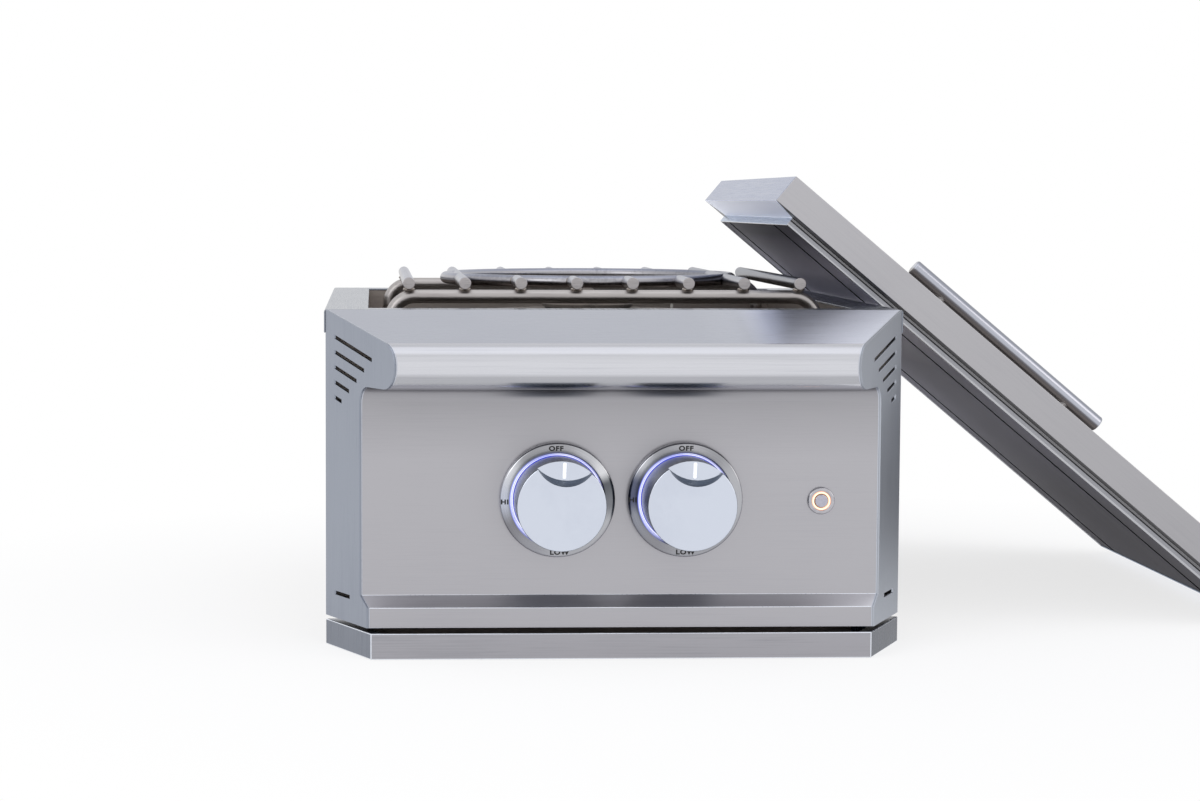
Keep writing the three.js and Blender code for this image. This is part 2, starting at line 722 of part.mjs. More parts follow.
// Inner burner: a cast head with a cap held by a domed nut
const innerHeadFoot = 15;
const innerHeadNeck = 16;
const innerHeadRadius = 32;
const innerHeadFlare = 12;
const innerHeadDepth = 6;
const capRim = 2.2;
const capDepth = 5.7;
const capNutRadius = 5;
const capNutDepth = 7;
const capNutDome = 4;
const headBottom = bracketTop + fit;
const headShoulder = headBottom + innerHeadNeck + innerHeadFlare;
const headTop = headShoulder + innerHeadDepth;
const capBottom = headTop + fit;
const capTop = capBottom + capDepth;

piece("inner_burner_head", "castIron", turnedUp([
  [0, headBottom], [innerHeadFoot, headBottom], [innerHeadFoot, headBottom + innerHeadNeck],
  [innerHeadRadius, headShoulder], [innerHeadRadius, headTop], [0, headTop],
]));
piece("inner_burner_cap", "castIron", turnedUp([
  [0, capBottom], [capRadius, capBottom], [capRadius, capBottom + capRim],
  [capRadius - capRim * 2, capTop], [capNutRadius, capTop + capRim],
  [capNutRadius, capTop + capNutDepth], [0, capTop + capNutDepth + capNutDome],
]));

// Outer burner: a cast ring round the inner one, with sloped faces for its ports
const outerBurnerWall = 18;
const outerBurnerSlope = 8;
const outerBurnerCrown = 10;

function outerBurner() {
  const bottom = burnerBarTop + fit;
  const shoulder = bottom + outerBurnerWall;
  const top = shoulder + outerBurnerCrown;
  return turnedUp([
    [outerBurnerInside, bottom], [outerBurnerRadius, bottom], [outerBurnerRadius, shoulder],
    [outerBurnerRadius - outerBurnerSlope, top], [outerBurnerInside + outerBurnerSlope, top],
    [outerBurnerInside, shoulder], [outerBurnerInside, bottom],
  ]);
}
piece("outer_burner_ring", "castIron", outerBurner());

// Spark electrodes: a ceramic rod with a collar, and a wire tip beside each burner
const collarRadius = 5.2;
const collarHeight = 3;
const electrodeDrop = 13;
const electrodeRise = 28;
const sparkTipRadius = 1;
const sparkTip = 9;

function sparkElectrode(place, seat) {
  const foot = seat - electrodeDrop;
  const top = seat + electrodeRise;
  return turnedUp([
    [0, foot], [electrodeRadius, foot], [electrodeRadius, seat], [collarRadius, seat],
    [collarRadius, seat + collarHeight], [electrodeRadius, seat + collarHeight], [electrodeRadius, top],
    [sparkTipRadius, top], [sparkTipRadius, top + sparkTip], [0, top + sparkTip],
  ], place, rodSides);
}
piece("inner_spark_electrode", "ceramic", sparkElectrode(innerElectrodePlace, bracketTop + fit));
piece("outer_spark_electrode", "ceramic", sparkElectrode(outerElectrodePlace, burnerBarTop + fit));

// Boxes on the heat wall: the spark generator and the driver for the lights
const wallBoxRise = 20;
const sparkBoxPlace = 107;
const sparkBoxWidth = 45;
const sparkBoxHeight = 40;
const sparkBoxDepth = 30;
const lightBoxPlace = 105;
const lightBoxWidth = 40;
const lightBoxHeight = 28;
const lightBoxDepth = 22;

function wallBox(x, width, height, depth) {
  const foot = controlHeight + wallBoxRise;
  return box([x - width / 2, x + width / 2], [frontY - depth, frontY], [foot, foot + height]);
}
piece("spark_generator", "blackPlastic", wallBox(-sparkBoxPlace, sparkBoxWidth, sparkBoxHeight, sparkBoxDepth));
piece("light_driver", "blackPlastic", wallBox(lightBoxPlace, lightBoxWidth, lightBoxHeight, lightBoxDepth));

// Drip tray: a tapered front that follows the end plates, and a shallow pan behind it
const trayTop = lipBottom - trayGap;
const trayReach = lipReach + trayProud;

function trayFront() {
  const tall = [trayFloor, trayTop];
  const plan = (inset) => {
    const rear = platesHalf - inset * Math.hypot(1, taper);
    const reach = trayReach - inset;
    const front = rear - taper * reach;
    return [[-rear, frontY], [-front, ahead(reach)], [front, ahead(reach)], [rear, frontY]];
  };
  const block = prism("z", plan(0), tall);
  return block.subtract(prism("z", plan(sheet), [trayFloor + sheet, trayTop + overrun]));
}
piece("drip_tray_front", "brushed", trayFront());

function trayPan() {
  const half = wallInner - trayRunning;
  const floor = sheet + fit;
  const depth = [frontY + fit, backWallY - panShort];
  const block = box([-half, half], depth, [floor, trayTop]);
  return block.subtract(box([sheet - half, half - sheet], [depth[0] + sheet, depth[1] - sheet],
    [floor + sheet, trayTop + overrun]));
}
piece("drip_tray_pan", "plain", trayPan());

// Grate rails: a round bar across, bent down at both ends to stand on the ledges
const rodHeight = rimHeight + rodRise;
const railHeight = rodHeight - rodRadius - fit - railRadius;
const railPlace = halfRod - railInset;

function grateRail(y) {
  const legX = railHalf - railRadius;
  const foot = ledgeTop + fit;
  const up = new THREE.Vector3(0, 0, 1);
  const left = new THREE.Vector3(-1, 0, 0);
  const right = new THREE.Vector3(1, 0, 0);
  const bendX = legX - railBend;
  const bendZ = railHeight - railBend;
  return bentBar([
    new THREE.Vector3(-legX, y, foot),
    ...quarterBend(new THREE.Vector3(-bendX, y, bendZ), railBend, left, up),
    ...quarterBend(new THREE.Vector3(bendX, y, bendZ), railBend, up, right),
    new THREE.Vector3(legX, y, foot),
  ], railRadius);
}
piece("grate_front_rail", "rod", grateRail(-railPlace));
piece("grate_rear_rail", "rod", grateRail(railPlace));

// Grate ring with the two long rods that it is welded to
const weldPlace = rodPitch * 2.5;
const ringRadius = weldPlace + ringOverhang;

function grateRod(x, from, to) {
  return cylinder("y", [x, rodHeight], [from, to], rodRadius, rodRadius, rodSides);
}

function ringOf(radius) {
  const profile = arc([ringRadius, rodHeight], radius, 0, Math.PI * 2, rodSides);
  return turnedUp(profile, [0, 0], fineSides);
}

function grateRing() {
  return ringOf(rodRadius)
    .add(grateRod(-weldPlace, -halfRod, halfRod))
    .add(grateRod(weldPlace, -halfRod, halfRod));
}
piece("grate_ring", "rod", grateRing());
piece("grate_left_rod", "rod", grateRod(-rodPitch * 3.5, -halfRod, halfRod));
piece("grate_right_rod", "rod", grateRod(rodPitch * 3.5, -halfRod, halfRod));

// Short rods that run from the ring to the front and to the rear
const clearOfRing = ringOf(rodRadius + fit);
for (let place = 0; place < 4; place += 1) {
  const x = rodPitch * (place - 1.5);
  const ringY = Math.sqrt(ringRadius ** 2 - x ** 2);
  piece(`grate_front_rod_${place + 1}`, "rod", grateRod(x, -halfRod, -ringY).subtract(clearOfRing));
  piece(`grate_rear_rod_${place + 1}`, "rod", grateRod(x, ringY, halfRod).subtract(clearOfRing));
}

// Lid: drawn flat in its own group, which then leans with its lip on the rim's right edge
const lid = new THREE.Group();
const lidLinerSet = 1;
const lidFloorGap = 0.3;

function lidShell() {
  const outer = box([0, lidLength], [0, lidWidth], [-lidSkirt, 0]);
  const inner = box([sheet, lidLength - sheet], [sheet, lidWidth - sheet], [sheet - lidSkirt, -sheet]);
  const lip = lidFlange + sheet;
  const lipBlock = box([lidFlange, lidLength - lidFlange], [lidFlange, lidWidth - lidFlange],
    [-lidLip, sheet - lidSkirt]);
  const mouth = box([lip, lidLength - lip], [lip, lidWidth - lip], [-lidLip - overrun, sheet - lidSkirt + fit]);
  return outer.subtract(inner).add(lipBlock).subtract(mouth);
}
piece("lid_shell", "brushed", lidShell(), lid);

// The liner closes the underside, just inside the edge of the lip
const linerInset = lidFlange + sheet + fit;
const linerFoot = lidLinerSet - lidLip;
piece("lid_liner", "plain", box([linerInset, lidLength - linerInset], [linerInset, lidWidth - linerInset],
  [linerFoot, linerFoot + sheet]), lid);

const barSpan = [lidLength / 2 - handleLength / 2, lidLength / 2 + handleLength / 2];
const handleBar = cylinder("x", [lidWidth / 2, handleStand], barSpan, handleRadius, handleRadius, rodSides);
piece("lid_handle_bar", "chrome", handleBar, lid);

for (const [side, name] of [[-1, "upper"], [1, "lower"]]) {
  const place = [lidLength / 2 + (side * handlePostSpacing) / 2, lidWidth / 2];
  const post = cylinder("z", place, [fit, handleStand - handleRadius - fit], handlePostRadius);
  piece(`lid_${name}_handle_post`, "chrome", post, lid);
}

// The lid's lowest corner is just above the floor, and its lip just clears the rim's edge
const leanSine = Math.sin(lidLean);
const leanCosine = Math.cos(lidLean);
const lidTopZ = lidFloorGap + lidLength * leanSine + lidSkirt * leanCosine;
const rimEdgeOut = (rimHalf - rimEdge) * leanSine + (rimHeight - rimEdge) * leanCosine + rimEdge;
const lidTopX = (rimEdgeOut + lidLip + fit - lidTopZ * leanCosine) / leanSine;
lid.rotation.y = lidLean;
lid.position.set(lidTopX, frontY + lidSetback, lidTopZ);
unit.add(lid);

// The origin goes to the middle of the underside of the whole, with the lid where it leans
const whole = new THREE.Box3().setFromObject(unit, true);
const middle = whole.getCenter(new THREE.Vector3());
unit.position.set(-middle.x, -middle.y, -whole.min.z);

export default unit;
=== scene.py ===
import json
import math

import bmesh
import bpy
from mathutils import Matrix, Vector

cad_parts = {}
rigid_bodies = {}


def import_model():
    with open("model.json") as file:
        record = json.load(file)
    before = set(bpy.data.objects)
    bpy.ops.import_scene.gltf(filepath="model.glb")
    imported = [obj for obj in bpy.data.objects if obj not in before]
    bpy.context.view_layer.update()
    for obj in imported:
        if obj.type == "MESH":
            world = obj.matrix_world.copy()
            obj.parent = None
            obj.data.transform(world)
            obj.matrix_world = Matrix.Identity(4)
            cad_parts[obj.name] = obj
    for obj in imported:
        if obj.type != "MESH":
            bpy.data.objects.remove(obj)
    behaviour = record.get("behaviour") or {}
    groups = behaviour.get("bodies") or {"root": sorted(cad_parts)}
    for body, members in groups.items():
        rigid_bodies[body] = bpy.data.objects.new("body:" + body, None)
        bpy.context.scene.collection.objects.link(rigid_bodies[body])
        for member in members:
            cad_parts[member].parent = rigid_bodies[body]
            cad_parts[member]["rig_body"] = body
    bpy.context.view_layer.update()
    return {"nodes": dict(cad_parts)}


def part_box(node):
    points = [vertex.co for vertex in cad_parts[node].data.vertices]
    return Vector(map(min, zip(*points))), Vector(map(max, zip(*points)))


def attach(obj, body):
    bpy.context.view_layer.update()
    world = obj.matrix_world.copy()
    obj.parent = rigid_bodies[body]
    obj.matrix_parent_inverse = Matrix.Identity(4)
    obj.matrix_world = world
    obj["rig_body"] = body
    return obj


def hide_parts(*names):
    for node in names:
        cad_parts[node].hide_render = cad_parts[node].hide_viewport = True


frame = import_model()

# Camera: the photographer stood a little to the left, with the lens just above the grate,
# and the frame was shifted so that the burner sits left of the middle.
camera_data = bpy.data.cameras.new("camera")
camera_data.sensor_width = 36
camera_data.lens = 78.32
camera_data.shift_x = 0.1011
camera_data.clip_end = 50
camera = bpy.data.objects.new("camera", camera_data)
camera_spot = (-0.307406, -1.915317, 0.296981)
camera_turns = ((-2.3261, "Z"), (85.6438, "X"), (0.1531, "Z"))
tripod = Matrix.Translation(camera_spot)
for degrees, axis in camera_turns:
    tripod = tripod @ Matrix.Rotation(math.radians(degrees), 4, axis)
camera.matrix_world = tripod
bpy.context.scene.collection.objects.link(camera)
bpy.context.scene.camera = camera

# Floor and background: seamless white paper. It is white to the eye and in reflections,
# and near the burner its own matt surface shows, so that it holds the soft shadow.
mm = 0.001
floor_reach = 6.0
shadow_start = 0.35
shadow_reach = 0.75
matt_share = 0.25


def linear(text):
    """Turns an sRGB hex colour into linear red, green, blue and alpha."""
    parts = [int(text[i:i + 2], 16) / 255 for i in (1, 3, 5)]
    return [c / 12.92 if c <= 0.04045 else ((c + 0.055) / 1.055) ** 2.4 for c in parts] + [1]


def wire(node, inputs):
    """Sets or links a node's inputs. A node that is given as a value stands for its first output."""
    for socket, value in inputs.items():
        if isinstance(value, bpy.types.Node):
            value = value.outputs[0]
        if isinstance(value, bpy.types.NodeSocket):
            node.id_data.links.new(value, node.inputs[socket])
        else:
            node.inputs[socket].default_value = value


def add(tree, kind, inputs=None, stops=None, **settings):
    """Adds a node with its settings, its colour stops and its links."""
    made = tree.nodes.new(kind)
    for name, value in settings.items():
        setattr(made, name, value)
    wire(made, inputs or {})
    for index, (place, colour) in enumerate(stops or []):
        points = made.color_ramp.elements
        point = points[index] if index < len(points) else points.new(place)
        point.position = place
        point.color = linear(colour) if isinstance(colour, str) else (colour, colour, colour, 1)
    return made


def seen_directly(tree):
    """One for the camera and for rays that mirrors and glass send, nought for the rest."""
    path = add(tree, "ShaderNodeLightPath").outputs
    mirrored = add(tree, "ShaderNodeMath", {0: path["Is Camera Ray"], 1: path["Is Glossy Ray"]},
                   operation="MAXIMUM")
    return add(tree, "ShaderNodeMath", {0: mirrored, 1: path["Is Transmission Ray"]}, operation="MAXIMUM")


world = bpy.data.worlds.new("white_studio")
bpy.context.scene.world = world
world.use_nodes = True
tree = world.node_tree
tree.nodes.clear()
soft_light = add(tree, "ShaderNodeBackground", {"Color": linear("#F2F3F8"), "Strength": 0.9})
white_paper = add(tree, "ShaderNodeBackground", {"Color": linear("#FFFFFF"), "Strength": 1})
shown = add(tree, "ShaderNodeMixShader", {0: seen_directly(tree), 1: soft_light, 2: white_paper})
add(tree, "ShaderNodeOutputWorld", {"Surface": shown})

paper = bpy.data.materials.new("matt_white_paper")
paper.use_nodes = True
tree = paper.node_tree
tree.nodes.clear()
place = add(tree, "ShaderNodeTexCoord").outputs["Object"]
distance = add(tree, "ShaderNodeVectorMath", {0: place}, operation="LENGTH").outputs["Value"]
near = add(tree, "ShaderNodeMapRange",
           {"Value": distance, "From Min": shadow_start, "From Max": shadow_reach,
            "To Min": matt_share, "To Max": 0})
# Clumps of fibre, 900 to the metre.
fibre = add(tree, "ShaderNodeTexNoise", {"Vector": place, "Scale": 900, "Detail": 2})
tone = add(tree, "ShaderNodeValToRGB", {"Fac": fibre}, stops=[(0.3, "#F9F9F9"), (0.7, "#FFFFFF")])
matt = add(tree, "ShaderNodeBsdfDiffuse", {"Color": tone, "Roughness": 1})
glow = add(tree, "ShaderNodeEmission", {"Color": linear("#FFFFFF"), "Strength": 1})
faded = add(tree, "ShaderNodeMixShader", {0: near, 1: glow, 2: matt})
shown = add(tree, "ShaderNodeMixShader", {0: seen_directly(tree), 1: matt, 2: faded})
add(tree, "ShaderNodeOutputMaterial", {"Surface": shown})


def new_object(name, bm, materials):
    """Makes an object at the origin from a bmesh, with its materials and smooth faces."""
    mesh = bpy.data.meshes.new(name)
    bm.to_mesh(mesh)
    bm.free()
    for material in materials:
        mesh.materials.append(material)
    mesh.shade_smooth()
    made = bpy.data.objects.new(name, mesh)
    bpy.context.scene.collection.objects.link(made)
    return made


bm = bmesh.new()
bmesh.ops.create_grid(bm, x_segments=1, y_segments=1, size=floor_reach)
new_object("floor", bm, [paper])

# Lamps: large soft boxes overhead and at the front left, and a weaker one at the right.
# Their light is plain, so a colour shows about as it is written.
softboxes = {
    "overhead": ((0.0, -0.25, 1.5), (0, 0, 0.2), (1.5, 1.1), 2.0, "#F4F7FF"),
    "front_left": ((-1.5, -1.6, 1.2), (0, 0, 0.15), (1.0, 1.0), 4.0, "#FFFFFF"),
    "right": ((1.7, -0.8, 0.9), (0, 0, 0.15), (0.9, 0.9), 2.5, "#FFF8F0"),
}
for name, (spot, aim, size, power, colour) in softboxes.items():
    lamp = bpy.data.lights.new(name, "AREA")
    lamp.shape = "RECTANGLE"
    lamp.size, lamp.size_y = size
    lamp.energy = power
    lamp.color = linear(colour)[:3]
    held = bpy.data.objects.new(name, lamp)
    held.location = spot
    held.rotation_euler = (Vector(aim) - Vector(spot)).to_track_quat("-Z", "Y").to_euler()
    bpy.context.scene.collection.objects.link(held)

bpy.context.scene.view_settings.view_transform = "Standard"

# Bent front panel: one sheet of stainless steel, brushed sideways, folded over a round nose.
# Rolling the nose polishes it, and its shine is painted on as highlight bands; the flat faces keep their
# grain.
steel_sheen_spread = 0.05
sideways = (60, 0.6, 0.6)
front_to_back = (0.6, 60, 0.6)
up_and_down = (0.6, 0.6, 60)


def new_material(name):
    """A material with nodes. Gives it with its tree and its shader."""
    material = bpy.data.materials.new(name)
    material.use_nodes = True
    return material, material.node_tree, material.node_tree.nodes["Principled BSDF"]


def brushed_steel(name, dark, light, grain, roughness, turn=(0, 0, 0)):
    """Brushed metal. Real lines are 0.2 mm wide; they are drawn as long and wide, in mm, as grain says."""
    material, tree, shader = new_material(name)
    place = add(tree, "ShaderNodeTexCoord").outputs["Object"]
    lines = add(tree, "ShaderNodeMapping",
                {"Vector": place, "Scale": [g * mm for g in grain], "Rotation": turn}, vector_type="TEXTURE")
    brush = add(tree, "ShaderNodeTexNoise", {"Vector": lines, "Scale": 1, "Detail": 4, "Roughness": 0.65})
    # Faint clouds, 14 to the metre, keep a wide face from looking printed.
    cloud = add(tree, "ShaderNodeTexNoise", {"Vector": place, "Scale": 14, "Detail": 2})
    blend = add(tree, "ShaderNodeMath", {0: cloud, 1: 0.35, 2: brush}, operation="MULTIPLY_ADD")
    tone = add(tree, "ShaderNodeValToRGB", {"Fac": blend}, stops=[(0.4, dark), (0.69, light)])
    gloss = add(tree, "ShaderNodeMapRange",
                {"Value": brush, "From Min": 0.3, "From Max": 0.7,
                 "To Min": roughness - steel_sheen_spread, "To Max": roughness + steel_sheen_spread})
    relief = add(tree, "ShaderNodeBump", {"Height": brush, "Strength": 0.25, "Distance": 0.02 * mm})
    wire(shader, {"Base Color": tone, "Roughness": gloss, "Normal": relief, "Metallic": 1})
    return material


def shaded_along(material, direction, start, end, stops, blend="MULTIPLY", source="Object"):
    """Paints light or shade into a material's colour, by stops that run along a direction, from start to end
    in metres.
    """
    tree = material.node_tree
    shader = tree.nodes["Principled BSDF"]
    place = add(tree, "ShaderNodeTexCoord").outputs[source]
    along = add(tree, "ShaderNodeVectorMath", {0: place, 1: direction}, operation="DOT_PRODUCT")
    reach = add(tree, "ShaderNodeMapRange",
                {"Value": along.outputs["Value"], "From Min": start, "From Max": end})
    shade = add(tree, "ShaderNodeValToRGB", {"Fac": reach}, stops=stops)
    plain = shader.inputs["Base Color"].links[0].from_socket
    both = add(tree, "ShaderNodeMix", {0: 1, 6: plain, 7: shade}, data_type="RGBA", blend_type=blend)
    wire(shader, {"Base Color": both.outputs[2]})


# The slope, nose, panel and flare take copies of one steel, painted lighter, darker or bluer for the light
# each catches.
slope_steel = brushed_steel("brushed_stainless_slope", "#B2B6C3", "#BBBFCB", sideways, 0.3)
nose_steel = brushed_steel("rolled_stainless_nose_painted_highlights", "#D0D1D8", "#DADBE1", (120, 1.2, 1.2), 0.22)
panel_steel = brushed_steel("brushed_stainless_panel", "#AEADB3", "#B5B4B9", sideways, 0.34)
flare_steel = brushed_steel("brushed_stainless_flare", "#C0BFC5", "#C8C7CC", sideways, 0.34)
nose_top = 207.2 * mm
nose_foot = 177.0 * mm
panel_shade_foot = 60 * mm
painted_shade_span = (-95 * mm, -15 * mm)
slope_painted_glare = (-75 * mm, 47 * mm)
# Painted highlights across the nose: two bright bands with a painted darker band between them.
shaded_along(nose_steel, (0, 0, 1), nose_foot, nose_top, [
    (0.0, "#E2E2E2"), (0.05, "#E2E2E2"), (0.07, "#FFFFFF"), (0.13, "#FFFFFF"), (0.165, "#D6D6D6"),
    (0.3, "#D6D6D6"), (0.375, "#F8F8F8"), (0.6, "#F8F8F8"), (0.8, "#E8E8E8"), (1.0, "#DADADC")])
# Painted shade on the slope, darker towards the left, and a painted glare that lightens it where the lid is
# mirrored.
shaded_along(slope_steel, (1, 0, 0), *painted_shade_span, [(0.0, "#E2E2E3"), (1.0, "#FFFFFF")])
shaded_along(slope_steel, (1, 0, 0), *slope_painted_glare, [
    (0.0, "#000000"), (0.08, "#000000"), (0.2, "#9398B4"), (0.6, "#989DB8"), (1.0, "#707488")], "SCREEN")
# Painted shade at the top of the panel, under the nose.
shaded_along(panel_steel, (0, 0, 1), panel_shade_foot, nose_foot, [
    (0.0, "#FFFFFF"), (0.6, "#FFFFFF"), (0.85, "#F0F0F0"), (0.97, "#E6E6E6"), (1.0, "#C4C4C4")])


def merged_copy(node):
    """A bmesh of a CAD node, with its loose triangles merged and its flat faces made whole."""
    bm = bmesh.new()
    bm.from_mesh(frame["nodes"][node].data)
    bmesh.ops.remove_doubles(bm, verts=bm.verts, dist=0.01 * mm)
    bmesh.ops.dissolve_limit(bm, angle_limit=math.radians(0.5), verts=bm.verts, edges=bm.edges)
    return bm


def even_shading(made, keep_sharp=True):
    """Shades flat faces flat and lets only their rounded edges turn the light."""
    even = made.modifiers.new("even", "WEIGHTED_NORMAL")
    even.keep_sharp = keep_sharp


def soft_edged(node, name, materials, edge, choose=None, edge_material=-1):
    """A copy of a CAD node's sheet or casting that stands for it. Its soft edges are so many mm wide."""
    bm = merged_copy(node)
    for face in bm.faces:
        face.material_index = choose(face.calc_center_median(), face.normal) if choose else 0
    made = new_object(name, bm, materials)
    rounding = made.modifiers.new("edges", "BEVEL")
    rounding.width = edge * mm
    rounding.segments = 2
    rounding.material = edge_material
    rounding.limit_method = "ANGLE"
    rounding.angle_limit = math.radians(35)
    rounding.harden_normals = True
    even_shading(made)
    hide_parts(node)
    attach(made, frame["nodes"][node]["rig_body"])
    return made


nose_depth = 81 * mm
nose_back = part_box("left_end_plate")[1].y - nose_depth
flare_foot = 33.6 * mm
flare_top = 40.2 * mm


def panel_region(centre, normal):
    """Which painted copy of the steel a face of the front panel has: 0 slope, 1 nose, 2 panel, 3 flare."""
    if centre.y < nose_back and nose_foot < centre.z < nose_top:
        return 1
    if flare_foot < centre.z < flare_top:
        return 3
    return 0 if centre.z >= nose_top else 2


# The bevelled edges of the panel and of the tray take a lighter steel, a painted highlight.
painted_edge_light = brushed_steel("stainless_edge_painted_highlight", "#DCE0EA", "#E6EAF2", (2, 2, 2), 0.3)
soft_edged("front_panel", "front_panel_sheet",
           [slope_steel, nose_steel, panel_steel, flare_steel, painted_edge_light], 0.6, panel_region,
           edge_material=4)

# End plates: tapered cheeks of the same steel, brushed upright, with punched vents,
# and welded along the edge of the front panel.
# The two cheeks take copies of the steel in different tones, painted for the light each catches: the left
# darker and bluer, the right lighter.
cheeks = {
    "left": brushed_steel("brushed_stainless_left_cheek", "#888E9C", "#979DA9", up_and_down, 0.32),
    "right": brushed_steel("brushed_stainless_right_cheek", "#A2A8B2", "#B4B9C2", up_and_down, 0.45),
}
# Painted shade: the right cheek darkens towards its top.
cheek_shade = (100 * mm, 220 * mm)
shaded_along(cheeks["right"], (0, 0, 1), *cheek_shade, [
    (0.0, "#FFFFFF"), (0.6, "#FFFFFF"), (1.0, "#C8C8CA")])
for side, steel in cheeks.items():
    soft_edged(f"{side}_end_plate", f"{side}_end_plate_sheet", [steel], 0.35)

# Corner welds: the seam where each cheek meets the front panel is filled with weld and
# ground to a bright line, 0.7 mm wide, that follows the folds of the panel.
seam_steel = brushed_steel("ground_weld_seam", "#B8BCC8", "#C6CAD4", (2, 2, 2), 0.34)
weld_inside = 0.4 * mm
weld_outside = 0.3 * mm
weld_depth = 0.2 * mm
panel = merged_copy("front_panel")
low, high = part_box("front_panel")
panel_middle = (low.x + high.x) / 2
# The corner's edges lie farther from the middle than any hole.
beyond_holes = 0.36 * (high.x - low.x)
for side, sign in (("left", 1), ("right", -1)):
    bm = bmesh.new()
    for edge in panel.edges:
        outward = [f.normal for f in edge.link_faces if abs(f.normal.x) < 0.1]
        if len(outward) != 1 or any((panel_middle - v.co.x) * sign < beyond_holes for v in edge.verts):
            continue
        ends = [v.co + outward[0] * rise for rise in (-weld_depth, 0) for v in edge.verts]
        seam = bmesh.ops.create_cube(bm, size=1)["verts"]
        for vert in seam:
            corner = ends[(2 if vert.co.z > 0 else 0) + (1 if vert.co.y > 0 else 0)]
            vert.co = corner + Vector(((weld_inside if vert.co.x > 0 else -weld_outside) * sign, 0, 0))
    bmesh.ops.recalc_face_normals(bm, faces=bm.faces)
    weld = new_object(f"front_panel_{side}_seam", bm, [seam_steel])
    weld.data.shade_flat()
    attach(weld, "base")
panel.free()

# Top rim: a folded frame of stainless steel that hangs the unit in the counter's cut-out.
# Its flat faces mirror the white overhead, so its own tone is darker than the front's.
rim_steel = brushed_steel("brushed_stainless_rim", "#7D838F", "#898E99", front_to_back, 0.28)
soft_edged("top_rim", "top_rim_sheet", [rim_steel], 0.5)

# Inner walls, ledges, bars, tubes and pan: mill-finish steel, duller than the outside, with a faint rolled
# grain and some heat tint. They stay as bent and cut; the pan is painted darker, as shade in the gap under
# the panel.
def finish_nodes(material, *nodes):
    """Gives a material to CAD nodes that keep their own shape."""
    for node in nodes:
        for held in frame["nodes"][node].material_slots:
            held.material = material


inner_steel = brushed_steel("mill_stainless_sheet", "#8E8783", "#A49C97", (30, 3, 3), 0.42)
finish_nodes(inner_steel, "heat_wall", "left_side_wall", "right_side_wall", "back_wall", "left_grate_ledge",
             "right_grate_ledge", "front_burner_bar", "rear_burner_bar", "burner_bracket", "gas_manifold",
             "inner_gas_tube", "outer_gas_tube", "switch_nut")
pan_steel = brushed_steel("stainless_pan_painted_shade", "#6A645F", "#7E7671", (30, 3, 3), 0.42)
finish_nodes(pan_steel, "drip_tray_pan")

# Bezels: turned and chromed rings on the panel, with a rounded outer edge and a fine
# lathe grain. Black lettering is printed on them: OFF above, HI at the left, LOW below.
bezel_sides = 96
lit_lip_radii = (30.4 * mm, 31.7 * mm)


def radius_round(tree, middle):
    """The distance of a point from the line to the front through the middle."""
    place = add(tree, "ShaderNodeTexCoord").outputs["Object"]
    arm = add(tree, "ShaderNodeVectorMath", {0: place, 1: middle}, operation="SUBTRACT")
    flat = add(tree, "ShaderNodeVectorMath", {0: arm, 1: (1, 0, 1)}, operation="MULTIPLY")
    return add(tree, "ShaderNodeVectorMath", {0: flat}, operation="LENGTH").outputs["Value"]


def turned_chrome(name, middle, sheen):
    """Chrome over lathe marks 0.3 mm wide. The sheen is painted reflection: its stops start below and run
    round by the left.
    """
    material, tree, shader = new_material(name)
    around = add(tree, "ShaderNodeUVMap", uv_map="around")
    turn = add(tree, "ShaderNodeSeparateXYZ", {"Vector": around}).outputs["X"]
    reach = add(tree, "ShaderNodeMapRange", {"Value": turn, "From Min": -0.5, "From Max": 0.5})
    painted_reflections = add(tree, "ShaderNodeValToRGB", {"Fac": reach}, stops=sheen)
    painted_reflections.color_ramp.interpolation = "EASE"
    tool_marks = add(tree, "ShaderNodeMapping", {"Vector": around, "Scale": (0.2, 0.3 * mm, 1)},
                     vector_type="TEXTURE")
    marks = add(tree, "ShaderNodeTexNoise", {"Vector": tool_marks, "Scale": 1, "Detail": 2})
    worn = add(tree, "ShaderNodeValToRGB", {"Fac": marks}, stops=[(0.3, "#EDEDED"), (0.7, "#FFFFFF")])
    both = add(tree, "ShaderNodeMix", {0: 1, 6: painted_reflections, 7: worn},
               data_type="RGBA", blend_type="MULTIPLY")
    # A painted glow: emission stands for the light ring behind shining on the bore and the lip, most of all
    # at the left.
    lip = add(tree, "ShaderNodeMapRange", {"Value": radius_round(tree, middle),
                                           "From Min": lit_lip_radii[0], "From Max": lit_lip_radii[1]})
    lit_lip = add(tree, "ShaderNodeValToRGB", {"Fac": lip},
                  stops=[(0.0, "#DDE1FF"), (0.4, "#C4CAFF"), (0.7, "#5A64D8"), (1.0, "#000000")])
    lit_side = add(tree, "ShaderNodeValToRGB", {"Fac": reach},
                   stops=[(0.06, "#000000"), (0.16, "#FFFFFF"), (0.33, "#FFFFFF"), (0.45, "#808080"),
                          (0.6, "#404040"), (0.68, "#000000")])
    ring_painted_glow = add(tree, "ShaderNodeMix", {0: 1, 6: lit_lip, 7: lit_side},
                data_type="RGBA", blend_type="MULTIPLY")
    relief = add(tree, "ShaderNodeBump", {"Height": marks, "Strength": 0.2, "Distance": 0.01 * mm})
    wire(shader, {"Base Color": both.outputs[2], "Emission Color": ring_painted_glow.outputs[2], "Emission Strength": 1,
                  "Normal": relief, "Metallic": 1, "Roughness": 0.18})
    return material


